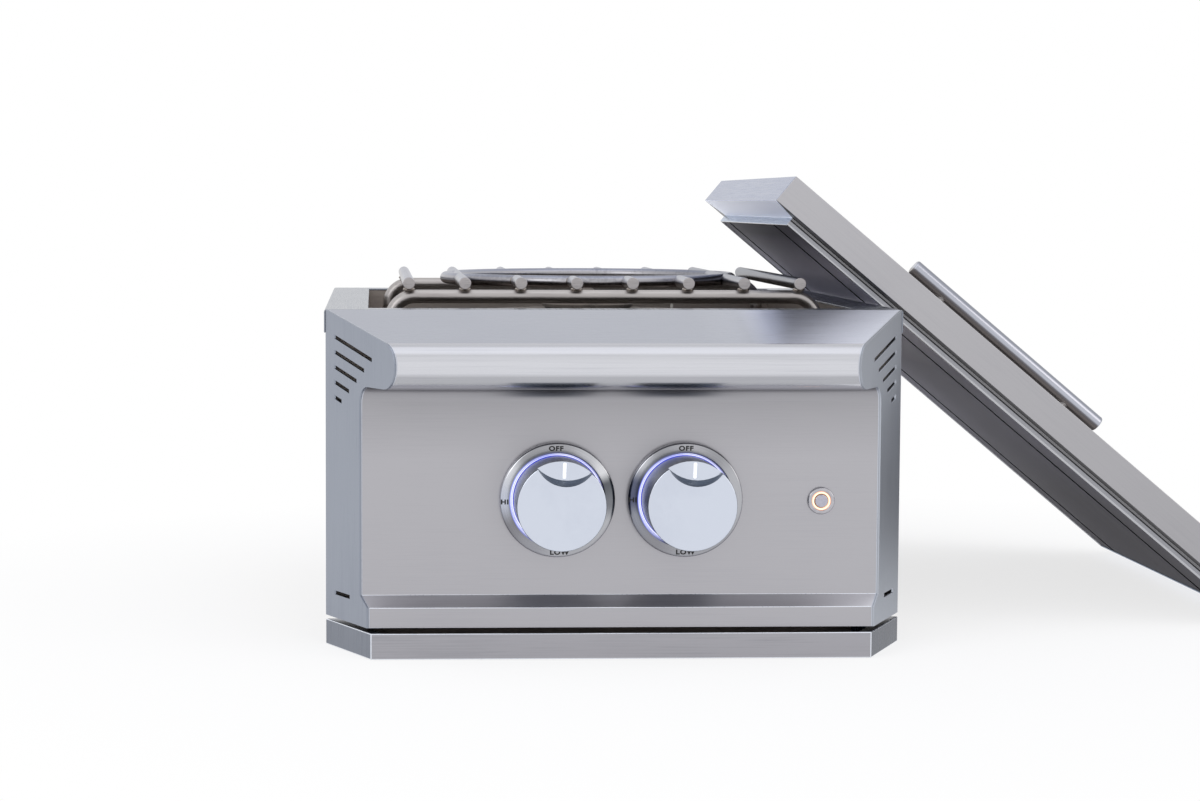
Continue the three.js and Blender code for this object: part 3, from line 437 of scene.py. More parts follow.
# Painted reflections: stops of tone that run round each bezel in place of what the chrome mirrors.
sheens = {
    "left": [
        (0.0, "#B0B1B7"), (0.08, "#9E9FA6"), (0.17, "#8A8A90"), (0.25, "#C4C9D8"), (0.34, "#DCDEE4"),
        (0.4, "#A0A1A6"), (0.52, "#A8A8AD"), (0.6, "#C4C5CA"), (0.66, "#E4E5E9"), (0.7, "#66696E"),
        (0.76, "#7E8086"), (0.82, "#B8B9BE"), (1.0, "#B0B1B7")],
    "right": [
        (0.0, "#A6A7AD"), (0.1, "#939399"), (0.2, "#9497A2"), (0.25, "#5C6078"), (0.3, "#62677C"),
        (0.36, "#C9CBD2"), (0.42, "#9FA0A6"), (0.52, "#B4B4B9"), (0.6, "#9FA0A5"), (0.68, "#BABBC0"),
        (1.0, "#A6A7AD")],
}

print_black, tree, shader = new_material("black_pad_print")
place = add(tree, "ShaderNodeTexCoord").outputs["Object"]
# Grit of the print, a quarter of a millimetre wide.
grit = add(tree, "ShaderNodeTexNoise", {"Vector": place, "Scale": 4000, "Detail": 2})
tone = add(tree, "ShaderNodeValToRGB", {"Fac": grit}, stops=[(0.3, "#141414"), (0.7, "#26262A")])
wire(shader, {"Base Color": tone, "Roughness": 0.5})


def turned(profile, axis, sides, name, materials):
    """Spins (radius, depth) points, in mm, about an axis to the front. Its UV map runs round and across."""
    bm = bmesh.new()
    centre = Vector(axis)
    last = None
    edges = []
    for radius, depth in profile:
        vert = bm.verts.new(centre + Vector((0, -depth * mm, radius * mm)))
        if last:
            edges.append(bm.edges.new((last, vert)))
        last = vert
    bmesh.ops.spin(bm, geom=bm.verts[:] + edges, cent=centre, axis=(0, 1, 0), angle=math.tau, steps=sides,
                   use_merge=True)
    bmesh.ops.remove_doubles(bm, verts=bm.verts, dist=0.002 * mm)
    bmesh.ops.recalc_face_normals(bm, faces=bm.faces)
    layer = bm.loops.layers.uv.new("around")
    for face in bm.faces:
        middle = face.calc_center_median() - centre
        middle_turn = math.atan2(middle.x, middle.z)
        for loop in face.loops:
            arm = loop.vert.co - centre
            angle = math.atan2(arm.x, arm.z)
            if angle - middle_turn > math.pi:
                angle -= math.tau
            if middle_turn - angle > math.pi:
                angle += math.tau
            loop[layer].uv = (angle / math.tau, math.hypot(arm.x, arm.z) - arm.y)
    made = new_object(name, bm, materials)
    even_shading(made)
    return made


def round_sizes(node):
    """The middle of a round CAD node's rear face, and its depth and radius in mm."""
    low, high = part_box(node)
    rear = Vector(((low.x + high.x) / 2, high.y, (low.z + high.z) / 2))
    return rear, (high.y - low.y) / mm, (high.x - low.x) / 2 / mm


bore = 30.5
bore_round = 0.9
rim_round = 2.0
upright = Matrix.Rotation(math.radians(90), 4, "X")
letter_height = 2.9
letter_stretch = 1.2
capital_share = 0.7
letter_boldness = 0.2
letter_thickness = 0.05
letter_lift = 0.04
letters = {"OFF": (0, 33.7), "HI": (-90, 34.6), "LOW": (180, 34.3)}
for side, twist in (("left", -2), ("right", 0)):
    axis, depth, outer = round_sizes(f"{side}_bezel")
    profile = [(bore, 0), (bore, depth - bore_round), (bore + 0.25, depth - 0.25),
               (bore + bore_round, depth), (outer - rim_round, depth), (outer - 1.0, depth - 0.25),
               (outer - 0.3, depth - 0.95), (outer, depth - rim_round), (outer, 0), (bore, 0)]
    chrome = turned_chrome(f"turned_chrome_{side}", axis, sheens[side])
    ring = turned(profile, axis, bezel_sides, f"{side}_bezel_ring", [chrome])
    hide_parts(f"{side}_bezel")
    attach(ring, "base")
    for word, (angle, radius) in letters.items():
        curve = bpy.data.curves.new(f"{side}_{word}", "FONT")
        curve.body = word
        curve.size = letter_height * mm / capital_share
        curve.align_x = "CENTER"
        curve.align_y = "CENTER"
        curve.offset = letter_boldness * mm
        curve.extrude = letter_thickness * mm
        curve.space_character = 1.15
        flat = bpy.data.objects.new(f"{side}_{word}", curve)
        bpy.context.scene.collection.objects.link(flat)
        bpy.context.view_layer.update()
        mesh = bpy.data.meshes.new_from_object(flat)
        bpy.data.objects.remove(flat)
        turn = math.radians(angle + twist)
        arm = Vector((radius * math.sin(turn), -(depth + letter_lift), radius * math.cos(turn)))
        spot = axis + mm * arm
        mesh.transform(Matrix.Translation(spot) @ upright @ Matrix.Diagonal((letter_stretch, 1, 1, 1)))
        mesh.materials.clear()
        mesh.materials.append(print_black)
        label = bpy.data.objects.new(f"{side}_bezel_{word}", mesh)
        bpy.context.scene.collection.objects.link(label)
        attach(label, "base")

# Light rings: moulded clear rings lit from behind by blue-white diodes. Their rounded lip
# stands in the gap between bezel and knob, and the diodes show as brighter stretches.
knob_light, tree, shader = new_material("lit_clear_acrylic")
around = add(tree, "ShaderNodeUVMap", uv_map="around")
across = add(tree, "ShaderNodeSeparateXYZ", {"Vector": around}).outputs["Y"]
lit_band = (31.9 * mm, 34.8 * mm)
reach = add(tree, "ShaderNodeMapRange", {"Value": across, "From Min": lit_band[0], "From Max": lit_band[1]})
band = add(tree, "ShaderNodeValToRGB", {"Fac": reach},
           stops=[(0.0, "#3A44C4"), (0.35, "#8E98F6"), (0.55, "#FFFFFF"), (0.93, "#FFFFFF"),
                  (1.0, "#6A76EA")])
# Each diode lights about a fifth of the ring.
stretch = add(tree, "ShaderNodeMapping", {"Vector": around, "Scale": (0.2, 0.05, 1)}, vector_type="TEXTURE")
diodes = add(tree, "ShaderNodeTexNoise", {"Vector": stretch, "Scale": 1, "Detail": 1})
glow = add(tree, "ShaderNodeValToRGB", {"Fac": diodes}, stops=[(0.35, "#B4BBF6"), (0.52, "#FFFFFF")])
both = add(tree, "ShaderNodeMix", {0: 1, 6: band, 7: glow}, data_type="RGBA", blend_type="MULTIPLY")
wire(shader, {"Emission Color": both.outputs[2], "Emission Strength": 1, "Base Color": linear("#5560A0"),
              "Roughness": 0.25})
guide_bore = 24
web = 2.5
lip_inner = 29.1
lip_top = 5.0
for side in ("left", "right"):
    axis, _, outer = round_sizes(f"{side}_light_ring")
    profile = [(guide_bore, 0), (guide_bore, web - 0.3), (guide_bore + 0.3, web), (lip_inner - 0.4, web),
               (lip_inner, web + 0.4), (lip_inner, lip_top - 0.6), (lip_inner + 0.3, lip_top),
               (lip_inner + 0.7, lip_top), (outer, lip_top - 0.6), (outer, 0), (guide_bore, 0)]
    ring = turned(profile, axis, bezel_sides, f"{side}_lit_ring", [knob_light])
    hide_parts(f"{side}_light_ring")
    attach(ring, "base")

# Knobs: die-cast drums, chromed, with a polished flat face, a scooped thumb rest and a satin side; the face
# is painted light and the side dark, as their reflections. A white line is filled in at the bottom of the
# scoop.
knob_face = brushed_steel("polished_chrome_face", "#CBD1DF", "#D2D8E5", (40, 40, 40), 0.14)
knob_side_painted_dark = brushed_steel("satin_chrome_side_painted_dark", "#4A515C", "#626A76", (6, 0.7, 6), 0.3)
paint, tree, shader = new_material("white_enamel_fill_painted_glow")
place = add(tree, "ShaderNodeTexCoord").outputs["Object"]
# Orange peel of the enamel, 1200 to the metre.
peel = add(tree, "ShaderNodeTexNoise", {"Vector": place, "Scale": 1200, "Detail": 2})
tone = add(tree, "ShaderNodeValToRGB", {"Fac": peel}, stops=[(0.3, "#F6F7FC"), (0.7, "#FFFFFF")])
relief = add(tree, "ShaderNodeBump", {"Height": peel, "Strength": 0.2, "Distance": 0.02 * mm})
# The enamel is given a faint painted glow.
wire(shader, {"Base Color": tone, "Emission Color": tone, "Emission Strength": 0.35, "Normal": relief,
              "Roughness": 0.25})
scoop_turn = math.radians(5)
scoop_depth = 6 * mm
line_size = Vector((2.2, 0.15, 10.2)) * mm
line_round = 0.6 * mm
line_turn = math.radians(2)
line_rise = 22.8 * mm


def facing(centre, normal):
    """The knob's front faces are polished and painted light, the others satin and painted dark, as
    reflections.
    """
    return 0 if normal.y < -0.7 else 1


def add_box(bm, size, middle=(0, 0, 0), slant=0):
    """Adds a box round a middle. Towards the front it may slant sideways, by a share of the way."""
    corners = bmesh.ops.create_cube(bm, size=1)["verts"]
    bmesh.ops.scale(bm, vec=size, verts=corners)
    for vert in corners:
        vert.co.x += (size[1] / 2 - vert.co.y) * slant
    bmesh.ops.translate(bm, vec=middle, verts=corners)


for side in ("left", "right"):
    low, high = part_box(f"{side}_knob")
    soft_edged(f"{side}_knob", f"{side}_knob_cast", [knob_face, knob_side_painted_dark], 0.3, facing)
    bm = bmesh.new()
    add_box(bm, line_size)
    corners = [e for e in bm.edges if abs(e.verts[0].co.y - e.verts[1].co.y) > line_size.y / 2]
    bmesh.ops.bevel(bm, geom=corners, offset=line_round, segments=4, profile=0.5, affect="EDGES",
                    material=-1)
    middle = (low + high) / 2
    floor_y = low.y + scoop_depth - line_size.y / 2
    spot = Vector((middle.x + line_rise * math.sin(scoop_turn), floor_y,
                   middle.z + line_rise * math.cos(scoop_turn)))
    lean = Matrix.Rotation(line_turn, 4, "Y")
    bmesh.ops.transform(bm, matrix=Matrix.Translation(spot) @ lean, verts=bm.verts)
    line = new_object(f"{side}_knob_line", bm, [paint])
    line.data.shade_flat()
    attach(line, f"{side}_knob")

# Light switch: a plated vandal-proof button. The housing has a rolled rim, the amber ring
# is lit by a diode behind it, and the cap is plain turned metal.
switch_metal = brushed_steel("plated_brass_housing", "#A3A2A8", "#BAB9BF", (2, 2, 2), 0.2)
switch_sides = 64
axis, front, rim = round_sizes("switch_housing")
flange = (axis.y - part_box("left_bezel")[1].y) / mm
barrel = rim - 1.2
well = 6.3
well_floor = front - 2.4
profile = [(0, 0), (barrel, 0), (barrel, flange), (rim, flange), (rim, front - 0.9),
           (rim - 0.3, front - 0.3), (rim - 0.9, front), (well + 0.7, front), (well + 0.2, front - 0.2),
           (well, front - 0.5), (well, well_floor), (0, well_floor)]
housing = turned(profile, axis, switch_sides, "switch_housing_turned", [switch_metal])
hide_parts("switch_housing")
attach(housing, "base")

amber, tree, shader = new_material("lit_amber_lens")
lens_radii = (4.6 * mm, 6.1 * mm)
across = add(tree, "ShaderNodeMapRange",
             {"Value": radius_round(tree, axis), "From Min": lens_radii[0], "From Max": lens_radii[1]})
tone = add(tree, "ShaderNodeValToRGB", {"Fac": across},
           stops=[(0.0, "#EEA98C"), (0.3, "#FFF1CC"), (0.6, "#FFFBEA"), (1.0, "#F3AE92")])
wire(shader, {"Emission Color": tone, "Emission Strength": 1.1, "Base Color": linear("#E8A070"),
              "Roughness": 0.3})
ring_rear, thick, _ = round_sizes("switch_light_ring")
ring_rear.x, ring_rear.z = axis.x, axis.z
inner = 4.8
outer = 6.0
lens_round = 0.2
profile = [(inner, 0), (inner, thick - lens_round), (inner + lens_round, thick), (outer - lens_round, thick),
           (outer, thick - lens_round), (outer, 0), (inner, 0)]
ring = turned(profile, ring_rear, switch_sides, "switch_lens", [amber])
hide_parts("switch_light_ring")
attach(ring, "base")

cap_metal = brushed_steel("turned_button_cap", "#A9A8B6", "#BBBAC6", (1.5, 1.5, 1.5), 0.25)
cap_rear, thick, cap_radius = round_sizes("switch_cap")
cap_rear.x, cap_rear.z = axis.x, axis.z
cap_sides = 48
cap_round = 0.5
dish = 0.1
profile = [(0, 0), (cap_radius, 0), (cap_radius, thick - cap_round), (cap_radius - 0.15, thick - 0.15),
           (cap_radius - cap_round, thick), (2.0, thick - dish / 2), (0, thick - dish)]
cap = turned(profile, cap_rear, cap_sides, "switch_cap_turned", [cap_metal])
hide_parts("switch_cap")
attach(cap, "switch_cap")

# Gas parts: forged brass valves, orifices and inlet fitting, and zinc-plated steel stems.
# Brass is left as machined, so it has fine tool lines and a dull yellow tone.
brass = brushed_steel("machined_brass", "#8F7440", "#B9985A", (0.8, 12, 0.8), 0.36)
finish_nodes(brass, "left_valve_body", "right_valve_body", "left_orifice", "right_orifice",
             "gas_inlet_fitting")
zinc = brushed_steel("zinc_plated_stem", "#85888C", "#9A9DA2", (0.8, 12, 0.8), 0.4)
finish_nodes(zinc, "left_valve_stem", "right_valve_stem")

# Burners: sand-cast iron heads, cap and ring with a rough skin, browned by heat. The gas leaves by rows of
# ports, drilled slots 2 mm wide, which are drawn as dark marks in the skin, painted shade in place of holes.
port_foot_drop = 10 * mm
port_top_drop = 5 * mm
port_half_share = 0.16


def cast_iron(name, middle, count, rise):
    """Sand-cast iron with a row of ports, painted dark as shade, round the middle, at heights from rise[0]
    to rise[1].
    """
    material, tree, shader = new_material(name)
    place = add(tree, "ShaderNodeTexCoord").outputs["Object"]
    # Sand grain, 900 to the metre, and heat stains, 45 to the metre.
    sand = add(tree, "ShaderNodeTexNoise", {"Vector": place, "Scale": 900, "Detail": 4, "Roughness": 0.7})
    stain = add(tree, "ShaderNodeTexNoise", {"Vector": place, "Scale": 45, "Detail": 3})
    blend = add(tree, "ShaderNodeMath", {0: sand, 1: stain}, operation="ADD")
    tone = add(tree, "ShaderNodeValToRGB", {"Fac": blend}, stops=[(0.75, "#45403D"), (1.2, "#6B635D")])
    arm = add(tree, "ShaderNodeVectorMath", {0: place, 1: middle}, operation="SUBTRACT")
    parts = add(tree, "ShaderNodeSeparateXYZ", {"Vector": arm}).outputs
    turn = add(tree, "ShaderNodeMath", {0: parts["Y"], 1: parts["X"]}, operation="ARCTAN2")
    steps = add(tree, "ShaderNodeMath", {0: turn, 1: count / math.tau}, operation="MULTIPLY")
    share = add(tree, "ShaderNodeMath", {0: steps}, operation="FRACT")
    slot = add(tree, "ShaderNodeMath", {0: share, 1: 0.5, 2: port_half_share}, operation="COMPARE")
    height = add(tree, "ShaderNodeSeparateXYZ", {"Vector": place}).outputs["Z"]
    half = (rise[1] - rise[0]) / 2
    level = add(tree, "ShaderNodeMath", {0: height, 1: rise[0] + half, 2: half}, operation="COMPARE")
    port = add(tree, "ShaderNodeMath", {0: slot, 1: level}, operation="MULTIPLY")
    # The ports are painted near black, as the shade inside the slots.
    skin = add(tree, "ShaderNodeMix", {0: port, 6: tone, 7: linear("#0A0909")}, data_type="RGBA")
    relief = add(tree, "ShaderNodeBump", {"Height": sand, "Strength": 0.7, "Distance": 0.12 * mm})
    wire(shader, {"Base Color": skin.outputs[2], "Normal": relief, "Metallic": 0.5, "Roughness": 0.62})
    return material


for node, count in (("inner_burner_head", 20), ("inner_burner_cap", 0), ("outer_burner_ring", 48)):
    low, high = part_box(node)
    ports = (high.z - port_foot_drop, high.z - port_top_drop)
    finish_nodes(cast_iron(f"sand_cast_iron_{node}", (low + high) / 2, count, ports), node)

# Spark electrodes: rods of fired white ceramic with a smooth glaze. Each stands beside its
# burner, in a hole that its collar rests on. The glaze has faint specks, 700 to the metre.
ceramic, tree, shader = new_material("glazed_ceramic")
place = add(tree, "ShaderNodeTexCoord").outputs["Object"]
speck = add(tree, "ShaderNodeTexNoise", {"Vector": place, "Scale": 700, "Detail": 2})
tone = add(tree, "ShaderNodeValToRGB", {"Fac": speck}, stops=[(0.35, "#DAD6CA"), (0.6, "#F1EEE5")])
wire(shader, {"Base Color": tone, "Roughness": 0.22, "IOR": 1.55})
finish_nodes(ceramic, "inner_spark_electrode", "outer_spark_electrode")

# Spark generator and light driver: boxes moulded in black nylon, which hang on a wall inside.
# The mould gives them a fine leather grain, 0.6 mm wide.
plastic, tree, shader = new_material("moulded_black_nylon")
place = add(tree, "ShaderNodeTexCoord").outputs["Object"]
leather = add(tree, "ShaderNodeTexVoronoi", {"Vector": place, "Scale": 1600})
tone = add(tree, "ShaderNodeValToRGB", {"Fac": leather}, stops=[(0.1, "#17171A"), (0.7, "#242428")])
relief = add(tree, "ShaderNodeBump", {"Height": leather, "Strength": 0.4, "Distance": 0.05 * mm})
wire(shader, {"Base Color": tone, "Normal": relief, "Roughness": 0.5})
finish_nodes(plastic, "spark_generator", "light_driver")

# Drip tray: its front is folded from brushed steel like the panel's, and its tapered ends follow the cheeks.
# The folds carry a painted highlight, and the ends take copies of the steel painted darker as shade, the
# right one most.
tray_steel = brushed_steel("brushed_stainless_tray", "#9A9AA0", "#AAA9AF", (70, 0.9, 0.9), 0.32)
tray_left_steel = brushed_steel("brushed_stainless_tray_left", "#737883", "#828792", (0.6, 0.6, 40), 0.3)
tray_right_steel = brushed_steel("brushed_stainless_tray_right", "#3E4450", "#4A505D", (0.6, 0.6, 40), 0.28)


def tray_region(centre, normal):
    """The front has one steel, and each slanted end its own copy, painted darker as shade."""
    if abs(normal.x) < 0.35:
        return 0
    return 1 if normal.x < 0 else 2


soft_edged("drip_tray_front", "drip_tray_front_sheet",
           [tray_steel, tray_left_steel, tray_right_steel, painted_edge_light], 0.55, tray_region, edge_material=3)

# Returns of the tray: the slanted ends are folded in at the top, and a plate closes each corner
# at the back, so nothing runs out at the sides. Both are of the front's own sheet.
sheet = 1.2 * mm
return_width = 7.7 * mm
return_inset = 1.1 * sheet
taper = math.tan(math.radians(25.08))
low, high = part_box("drip_tray_front")
return_length = high.y - low.y - sheet
corner_width = abs(low.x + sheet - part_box("drip_tray_pan")[0].x)
ends = (("left", 1, low.x, tray_left_steel), ("right", -1, high.x, tray_right_steel))
for side, sign, outside, steel in ends:
    bm = bmesh.new()
    add_box(bm, (return_width, return_length, sheet),
            (return_inset + return_width / 2, -return_length / 2, high.z - sheet / 2), taper)
    add_box(bm, (corner_width, sheet, high.z - low.z - 2 * sheet),
            (return_inset + corner_width / 2, -sheet / 2, (high.z + low.z) / 2))
    corner = Matrix.Translation((outside, high.y, 0)) @ Matrix.Diagonal((sign, 1, 1, 1))
    bmesh.ops.transform(bm, matrix=corner, verts=bm.verts)
    bmesh.ops.recalc_face_normals(bm, faces=bm.faces)
    folded = new_object(f"drip_tray_{side}_return", bm, [steel])
    folded.data.shade_flat()
    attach(folded, "drip_tray")

# Grate: round stainless rods, satin drawn, with sawn ends. Eight rods lie on two bent
# rails, and the four in the middle stop at a welded ring that leaves room for a wok.
rod_steel, tree, shader = new_material("drawn_stainless_rod")
place = add(tree, "ShaderNodeTexCoord").outputs["Object"]
# The drawn skin, 420 to the metre, lies over patches of heat tint, 22 to the metre.
skin = add(tree, "ShaderNodeTexNoise", {"Vector": place, "Scale": 420, "Detail": 4, "Roughness": 0.6})
tint = add(tree, "ShaderNodeTexNoise", {"Vector": place, "Scale": 22, "Detail": 2})
blend = add(tree, "ShaderNodeMath", {0: skin, 1: tint}, operation="ADD")
tone = add(tree, "ShaderNodeValToRGB", {"Fac": blend}, stops=[(0.8, "#96959A"), (1.15, "#A9A8AD")])
relief = add(tree, "ShaderNodeBump", {"Height": skin, "Strength": 0.15, "Distance": 0.04 * mm})
wire(shader, {"Base Color": tone, "Normal": relief, "Metallic": 1, "Roughness": 0.28})
# Painted light by which way a face looks: the tops darker and bluer, the undersides warmer.
shaded_along(rod_steel, (0, 0, 1), -1, 1, [
    (0.0, "#FFF0E8"), (0.35, "#FFFAF6"), (0.5, "#FFFFFF"), (0.72, "#FFFFFF"), (0.88, "#E2E8F8"),
    (1.0, "#C8CEE0")], source="Normal")
# Painted reflection: the rods towards the right are painted darker, for the lid they mirror.
shaded_along(rod_steel, (1, 0, 0), *painted_shade_span, [(0.0, "#FFFFFF"), (1.0, "#9AA0AC")])
rail_steel = brushed_steel("drawn_stainless_rail", "#9F9A9A", "#B1ADAC", (40, 2, 2), 0.34)
sawn_end = brushed_steel("sawn_rod_end", "#9A9798", "#B9B5B6", (6, 6, 0.7), 0.45)
weld_metal = brushed_steel("tig_weld_bead", "#6B5F57", "#A39C96", (1.2, 1.2, 1.2), 0.3)
rod_sides = 32
rod_radius = 4.3 * mm
rod_chamfer = 0.5 * mm
bead_offset = 3 * mm
low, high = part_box("grate_ring")
grate_middle = Vector(((low.x + high.x) / 2, (low.y + high.y) / 2, (low.z + high.z) / 2))
rod_half = (high.y - low.y) / 2
ring_radius = 107.0 * mm
ring_sides = 24
ring_steps = 96


def add_rod(bm, x, start, end):
    """A round rod along Y with its ends lightly chamfered and marked as sawn."""
    rod = bmesh.ops.create_cone(bm, cap_ends=True, segments=rod_sides, radius1=rod_radius,
                                radius2=rod_radius, depth=end - start)["verts"]
    spot = Matrix.Translation((x, (start + end) / 2, grate_middle.z)) @ upright
    bmesh.ops.transform(bm, matrix=spot, verts=rod)
    caps = {f for v in rod for f in v.link_faces if len(f.verts) > 4}
    rims = {e for f in caps for e in f.edges}
    for cap in caps:
        cap.material_index = 1
    bmesh.ops.bevel(bm, geom=list(rims), offset=rod_chamfer, segments=2, profile=0.5, affect="EDGES",
                    material=-1)


def finish_rod(bm, name, node, steel=rod_steel):
    """Makes a rod's object, which stands for a CAD node."""
    made = new_object(name, bm, [steel, sawn_end])
    even_shading(made)
    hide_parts(node)
    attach(made, "grate")


front_end = grate_middle.y - rod_half
rear_end = grate_middle.y + rod_half
for node in ("grate_left_rod", "grate_right_rod"):
    low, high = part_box(node)
    bm = bmesh.new()
    add_rod(bm, (low.x + high.x) / 2, front_end, rear_end)
    finish_rod(bm, f"{node}_drawn", node)
weld_spots = []
for place_number in range(1, 5):
    low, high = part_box(f"grate_front_rod_{place_number}")
    x = (low.x + high.x) / 2
    inner = math.sqrt(ring_radius ** 2 - (x - grate_middle.x) ** 2)
    rows = (("front", front_end, grate_middle.y - inner), ("rear", grate_middle.y + inner, rear_end))
    for row, start, end in rows:
        node = f"grate_{row}_rod_{place_number}"
        bm = bmesh.new()
        add_rod(bm, x, start, end)
        finish_rod(bm, f"{node}_drawn", node)
    weld_spots += [(x, grate_middle.y + sign * (inner + bead_offset)) for sign in (-1, 1)]
bm = bmesh.new()
low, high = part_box("grate_right_rod")
rod_steps = (-3.5, -2.5, -1.5, -0.5, 0.5, 1.5, 2.5, 3.5)
rod_pitch = ((low.x + high.x) / 2 - grate_middle.x) / rod_steps[-1]
for step in (rod_steps[1], rod_steps[-2]):
    add_rod(bm, grate_middle.x + step * rod_pitch, front_end, rear_end)
circle = bmesh.ops.create_circle(bm, segments=ring_sides, radius=rod_radius)["verts"]
stand = Matrix.Translation(grate_middle + Vector((ring_radius, 0, 0))) @ upright
bmesh.ops.transform(bm, matrix=stand, verts=circle)
hoop = list({e for v in circle for e in v.link_edges})
bmesh.ops.spin(bm, geom=circle + hoop, cent=grate_middle, axis=(0, 0, 1), angle=math.tau,
               steps=ring_steps, use_merge=True)
bmesh.ops.remove_doubles(bm, verts=bm.verts, dist=0.005 * mm)
bmesh.ops.recalc_face_normals(bm, faces=bm.faces)
finish_rod(bm, "grate_ring_welded", "grate_ring")

rail_radius = 4.75 * mm
rail_bend = 16 * mm
bend_steps = 12


def run(bm, edges, step):
    """Pulls a ring of edges on by a step. Gives the new ring's points and edges."""
    grown = bmesh.ops.extrude_edge_only(bm, edges=edges)["geom"]
    verts = [g for g in grown if isinstance(g, bmesh.types.BMVert)]
    edges = [e for e in grown if isinstance(e, bmesh.types.BMEdge) and all(v in verts for v in e.verts)]
    bmesh.ops.translate(bm, vec=step, verts=verts)
    return verts, edges


def turn_round(bm, ring, centre):
    """Bends a ring of points and edges through a quarter turn. Gives the new ring's edges."""
    bent = bmesh.ops.spin(bm, geom=ring, cent=centre, axis=(0, 1, 0), angle=math.radians(90),
                          steps=bend_steps)
    return [g for g in bent["geom_last"] if isinstance(g, bmesh.types.BMEdge)]


rail_lines = []
for row in ("front", "rear"):
    node = f"grate_{row}_rail"
    low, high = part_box(node)
    y = (low.y + high.y) / 2
    rail_lines.append(y)
    leg = low.x + rail_radius
    far = high.x - rail_radius
    top = high.z - rail_radius
    bm = bmesh.new()
    foot = bmesh.ops.create_circle(bm, cap_ends=True, segments=rod_sides, radius=rail_radius)["verts"]
    bmesh.ops.translate(bm, vec=(leg, y, low.z), verts=foot)
    edges = list({e for v in foot for e in v.link_edges})
    verts, edges = run(bm, edges, (0, 0, top - rail_bend - low.z))
    edges = turn_round(bm, verts + edges, (leg + rail_bend, y, top - rail_bend))
    verts, edges = run(bm, edges, (far - leg - 2 * rail_bend, 0, 0))
    edges = turn_round(bm, verts + edges, (far - rail_bend, y, top - rail_bend))
    verts, edges = run(bm, edges, (0, 0, low.z - top + rail_bend))
    bmesh.ops.contextual_create(bm, geom=edges)
    bmesh.ops.remove_doubles(bm, verts=bm.verts, dist=0.005 * mm)
    bmesh.ops.recalc_face_normals(bm, faces=bm.faces)
    for face in bm.faces:
        face.material_index = 1 if len(face.verts) > 4 else 0
    finish_rod(bm, f"{node}_bent", node, rail_steel)

# Weld beads: a small flattened bead of stainless filler, in dark brownish grey, sits wherever a rod crosses
# a rail or meets the ring.
crossing_bead = (4.4 * mm, 3.6 * mm, 1.7 * mm)
ring_bead = (5.2 * mm, 2.6 * mm, 4.3 * mm)
crossing_z = grate_middle.z - rod_radius
crossings = [(grate_middle.x + step * rod_pitch, y) for step in rod_steps for y in rail_lines]
bm = bmesh.new()
bead_kinds = ((crossings, crossing_z, crossing_bead), (weld_spots, grate_middle.z, ring_bead))
for spots, height, reach in bead_kinds:
    for x, y in spots:
        bead = bmesh.ops.create_icosphere(bm, subdivisions=2, radius=1)["verts"]
        shape = Matrix.Translation((x, y, height)) @ Matrix.Diagonal((*reach, 1))
        bmesh.ops.transform(bm, matrix=shape, verts=bead)
beads = new_object("grate_weld_beads", bm, [weld_metal])
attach(beads, "grate")

# Lid: a folded steel pan, brushed along its length, whose lip fits inside the rim. It was
# lifted off and leans on the right edge, so its underside faces down to the left.
lid_lean = math.radians(40)
lid_turn = (0, lid_lean, 0)
# Each face takes a copy of the steel, painted lighter, darker or bluer for the light it catches; the ends
# are the darkest and bluest.
lid_steels = [brushed_steel(f"brushed_stainless_{name}", dark, light, grain, roughness, lid_turn)
              for name, dark, light, grain, roughness in (
                  ("lid_top", "#ACACB2", "#B8B8BE", sideways, 0.3),
                  ("lid_skirt", "#B1B0B5", "#B9B8BC", sideways, 0.34),
                  ("lid_end", "#77819F", "#848EAC", front_to_back, 0.24),
                  ("lid_flange", "#B4B9C8", "#BEC3D2", sideways, 0.34),
                  ("lid_lip", "#B4B5BA", "#C0C1C6", sideways, 0.26),
                  ("lip_end", "#98A7BE", "#A6B5CA", front_to_back, 0.26))]
lid_up = Vector((math.sin(lid_lean), 0, math.cos(lid_lean)))
lid_along = Vector((math.cos(lid_lean), 0, -math.sin(lid_lean)))
to_rear = Vector((0, 1, 0))
shell = frame["nodes"]["lid_shell"].data.vertices
lid_left = min(v.co.dot(lid_along) for v in shell)
lid_crown = max(v.co.dot(lid_up) for v in shell)
lid_origin = lid_along * lid_left + lid_up * lid_crown
lid_origin.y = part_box("lid_shell")[0].y
skirt_foot = 21.0 * mm
flange_band = 2 * mm


def lid_spans(node):
    """A lid piece's reach along, to the rear and up, from the lid's corner and as the lid leans."""
    points = [v.co - lid_origin for v in frame["nodes"][node].data.vertices]
    return [[f(p.dot(way) for p in points) for f in (min, max)] for way in (lid_along, to_rear, lid_up)]


def lid_region(centre, normal):
    """Which painted copy of the steel a face of the lid has: 0 top, 1 skirt, 2 end, 3 flange, 4 lip, 5 lip's
    end.
    """
    drop = -(centre - lid_origin).dot(lid_up)
    if normal.dot(lid_up) > 0.7:
        return 0
    if drop > skirt_foot:
        if normal.dot(lid_up) < -0.7 and drop < skirt_foot + flange_band:
            return 3
        return 5 if abs(normal.dot(lid_along)) > 0.7 else 4
    return 2 if abs(normal.dot(lid_along)) > 0.7 else 1


far_along, far_deep, _ = [span[1] for span in lid_spans("lid_shell")]
lid_run = (lid_origin.dot(lid_along), lid_origin.dot(lid_along) + far_along)
_, skirt_steel, _, flange_steel, lip_steel, _ = lid_steels
# Painted shade: the skirt darkens towards the lid's lower end.
shaded_along(skirt_steel, lid_along, *lid_run, [(0.0, "#FFFFFF"), (0.3, "#F8F8F8"), (1.0, "#E6E6E6")])
tree = flange_steel.node_tree
shader = tree.nodes["Principled BSDF"]
place = add(tree, "ShaderNodeTexCoord").outputs["Object"]
arm = add(tree, "ShaderNodeVectorMath", {0: place, 1: lid_origin}, operation="SUBTRACT")
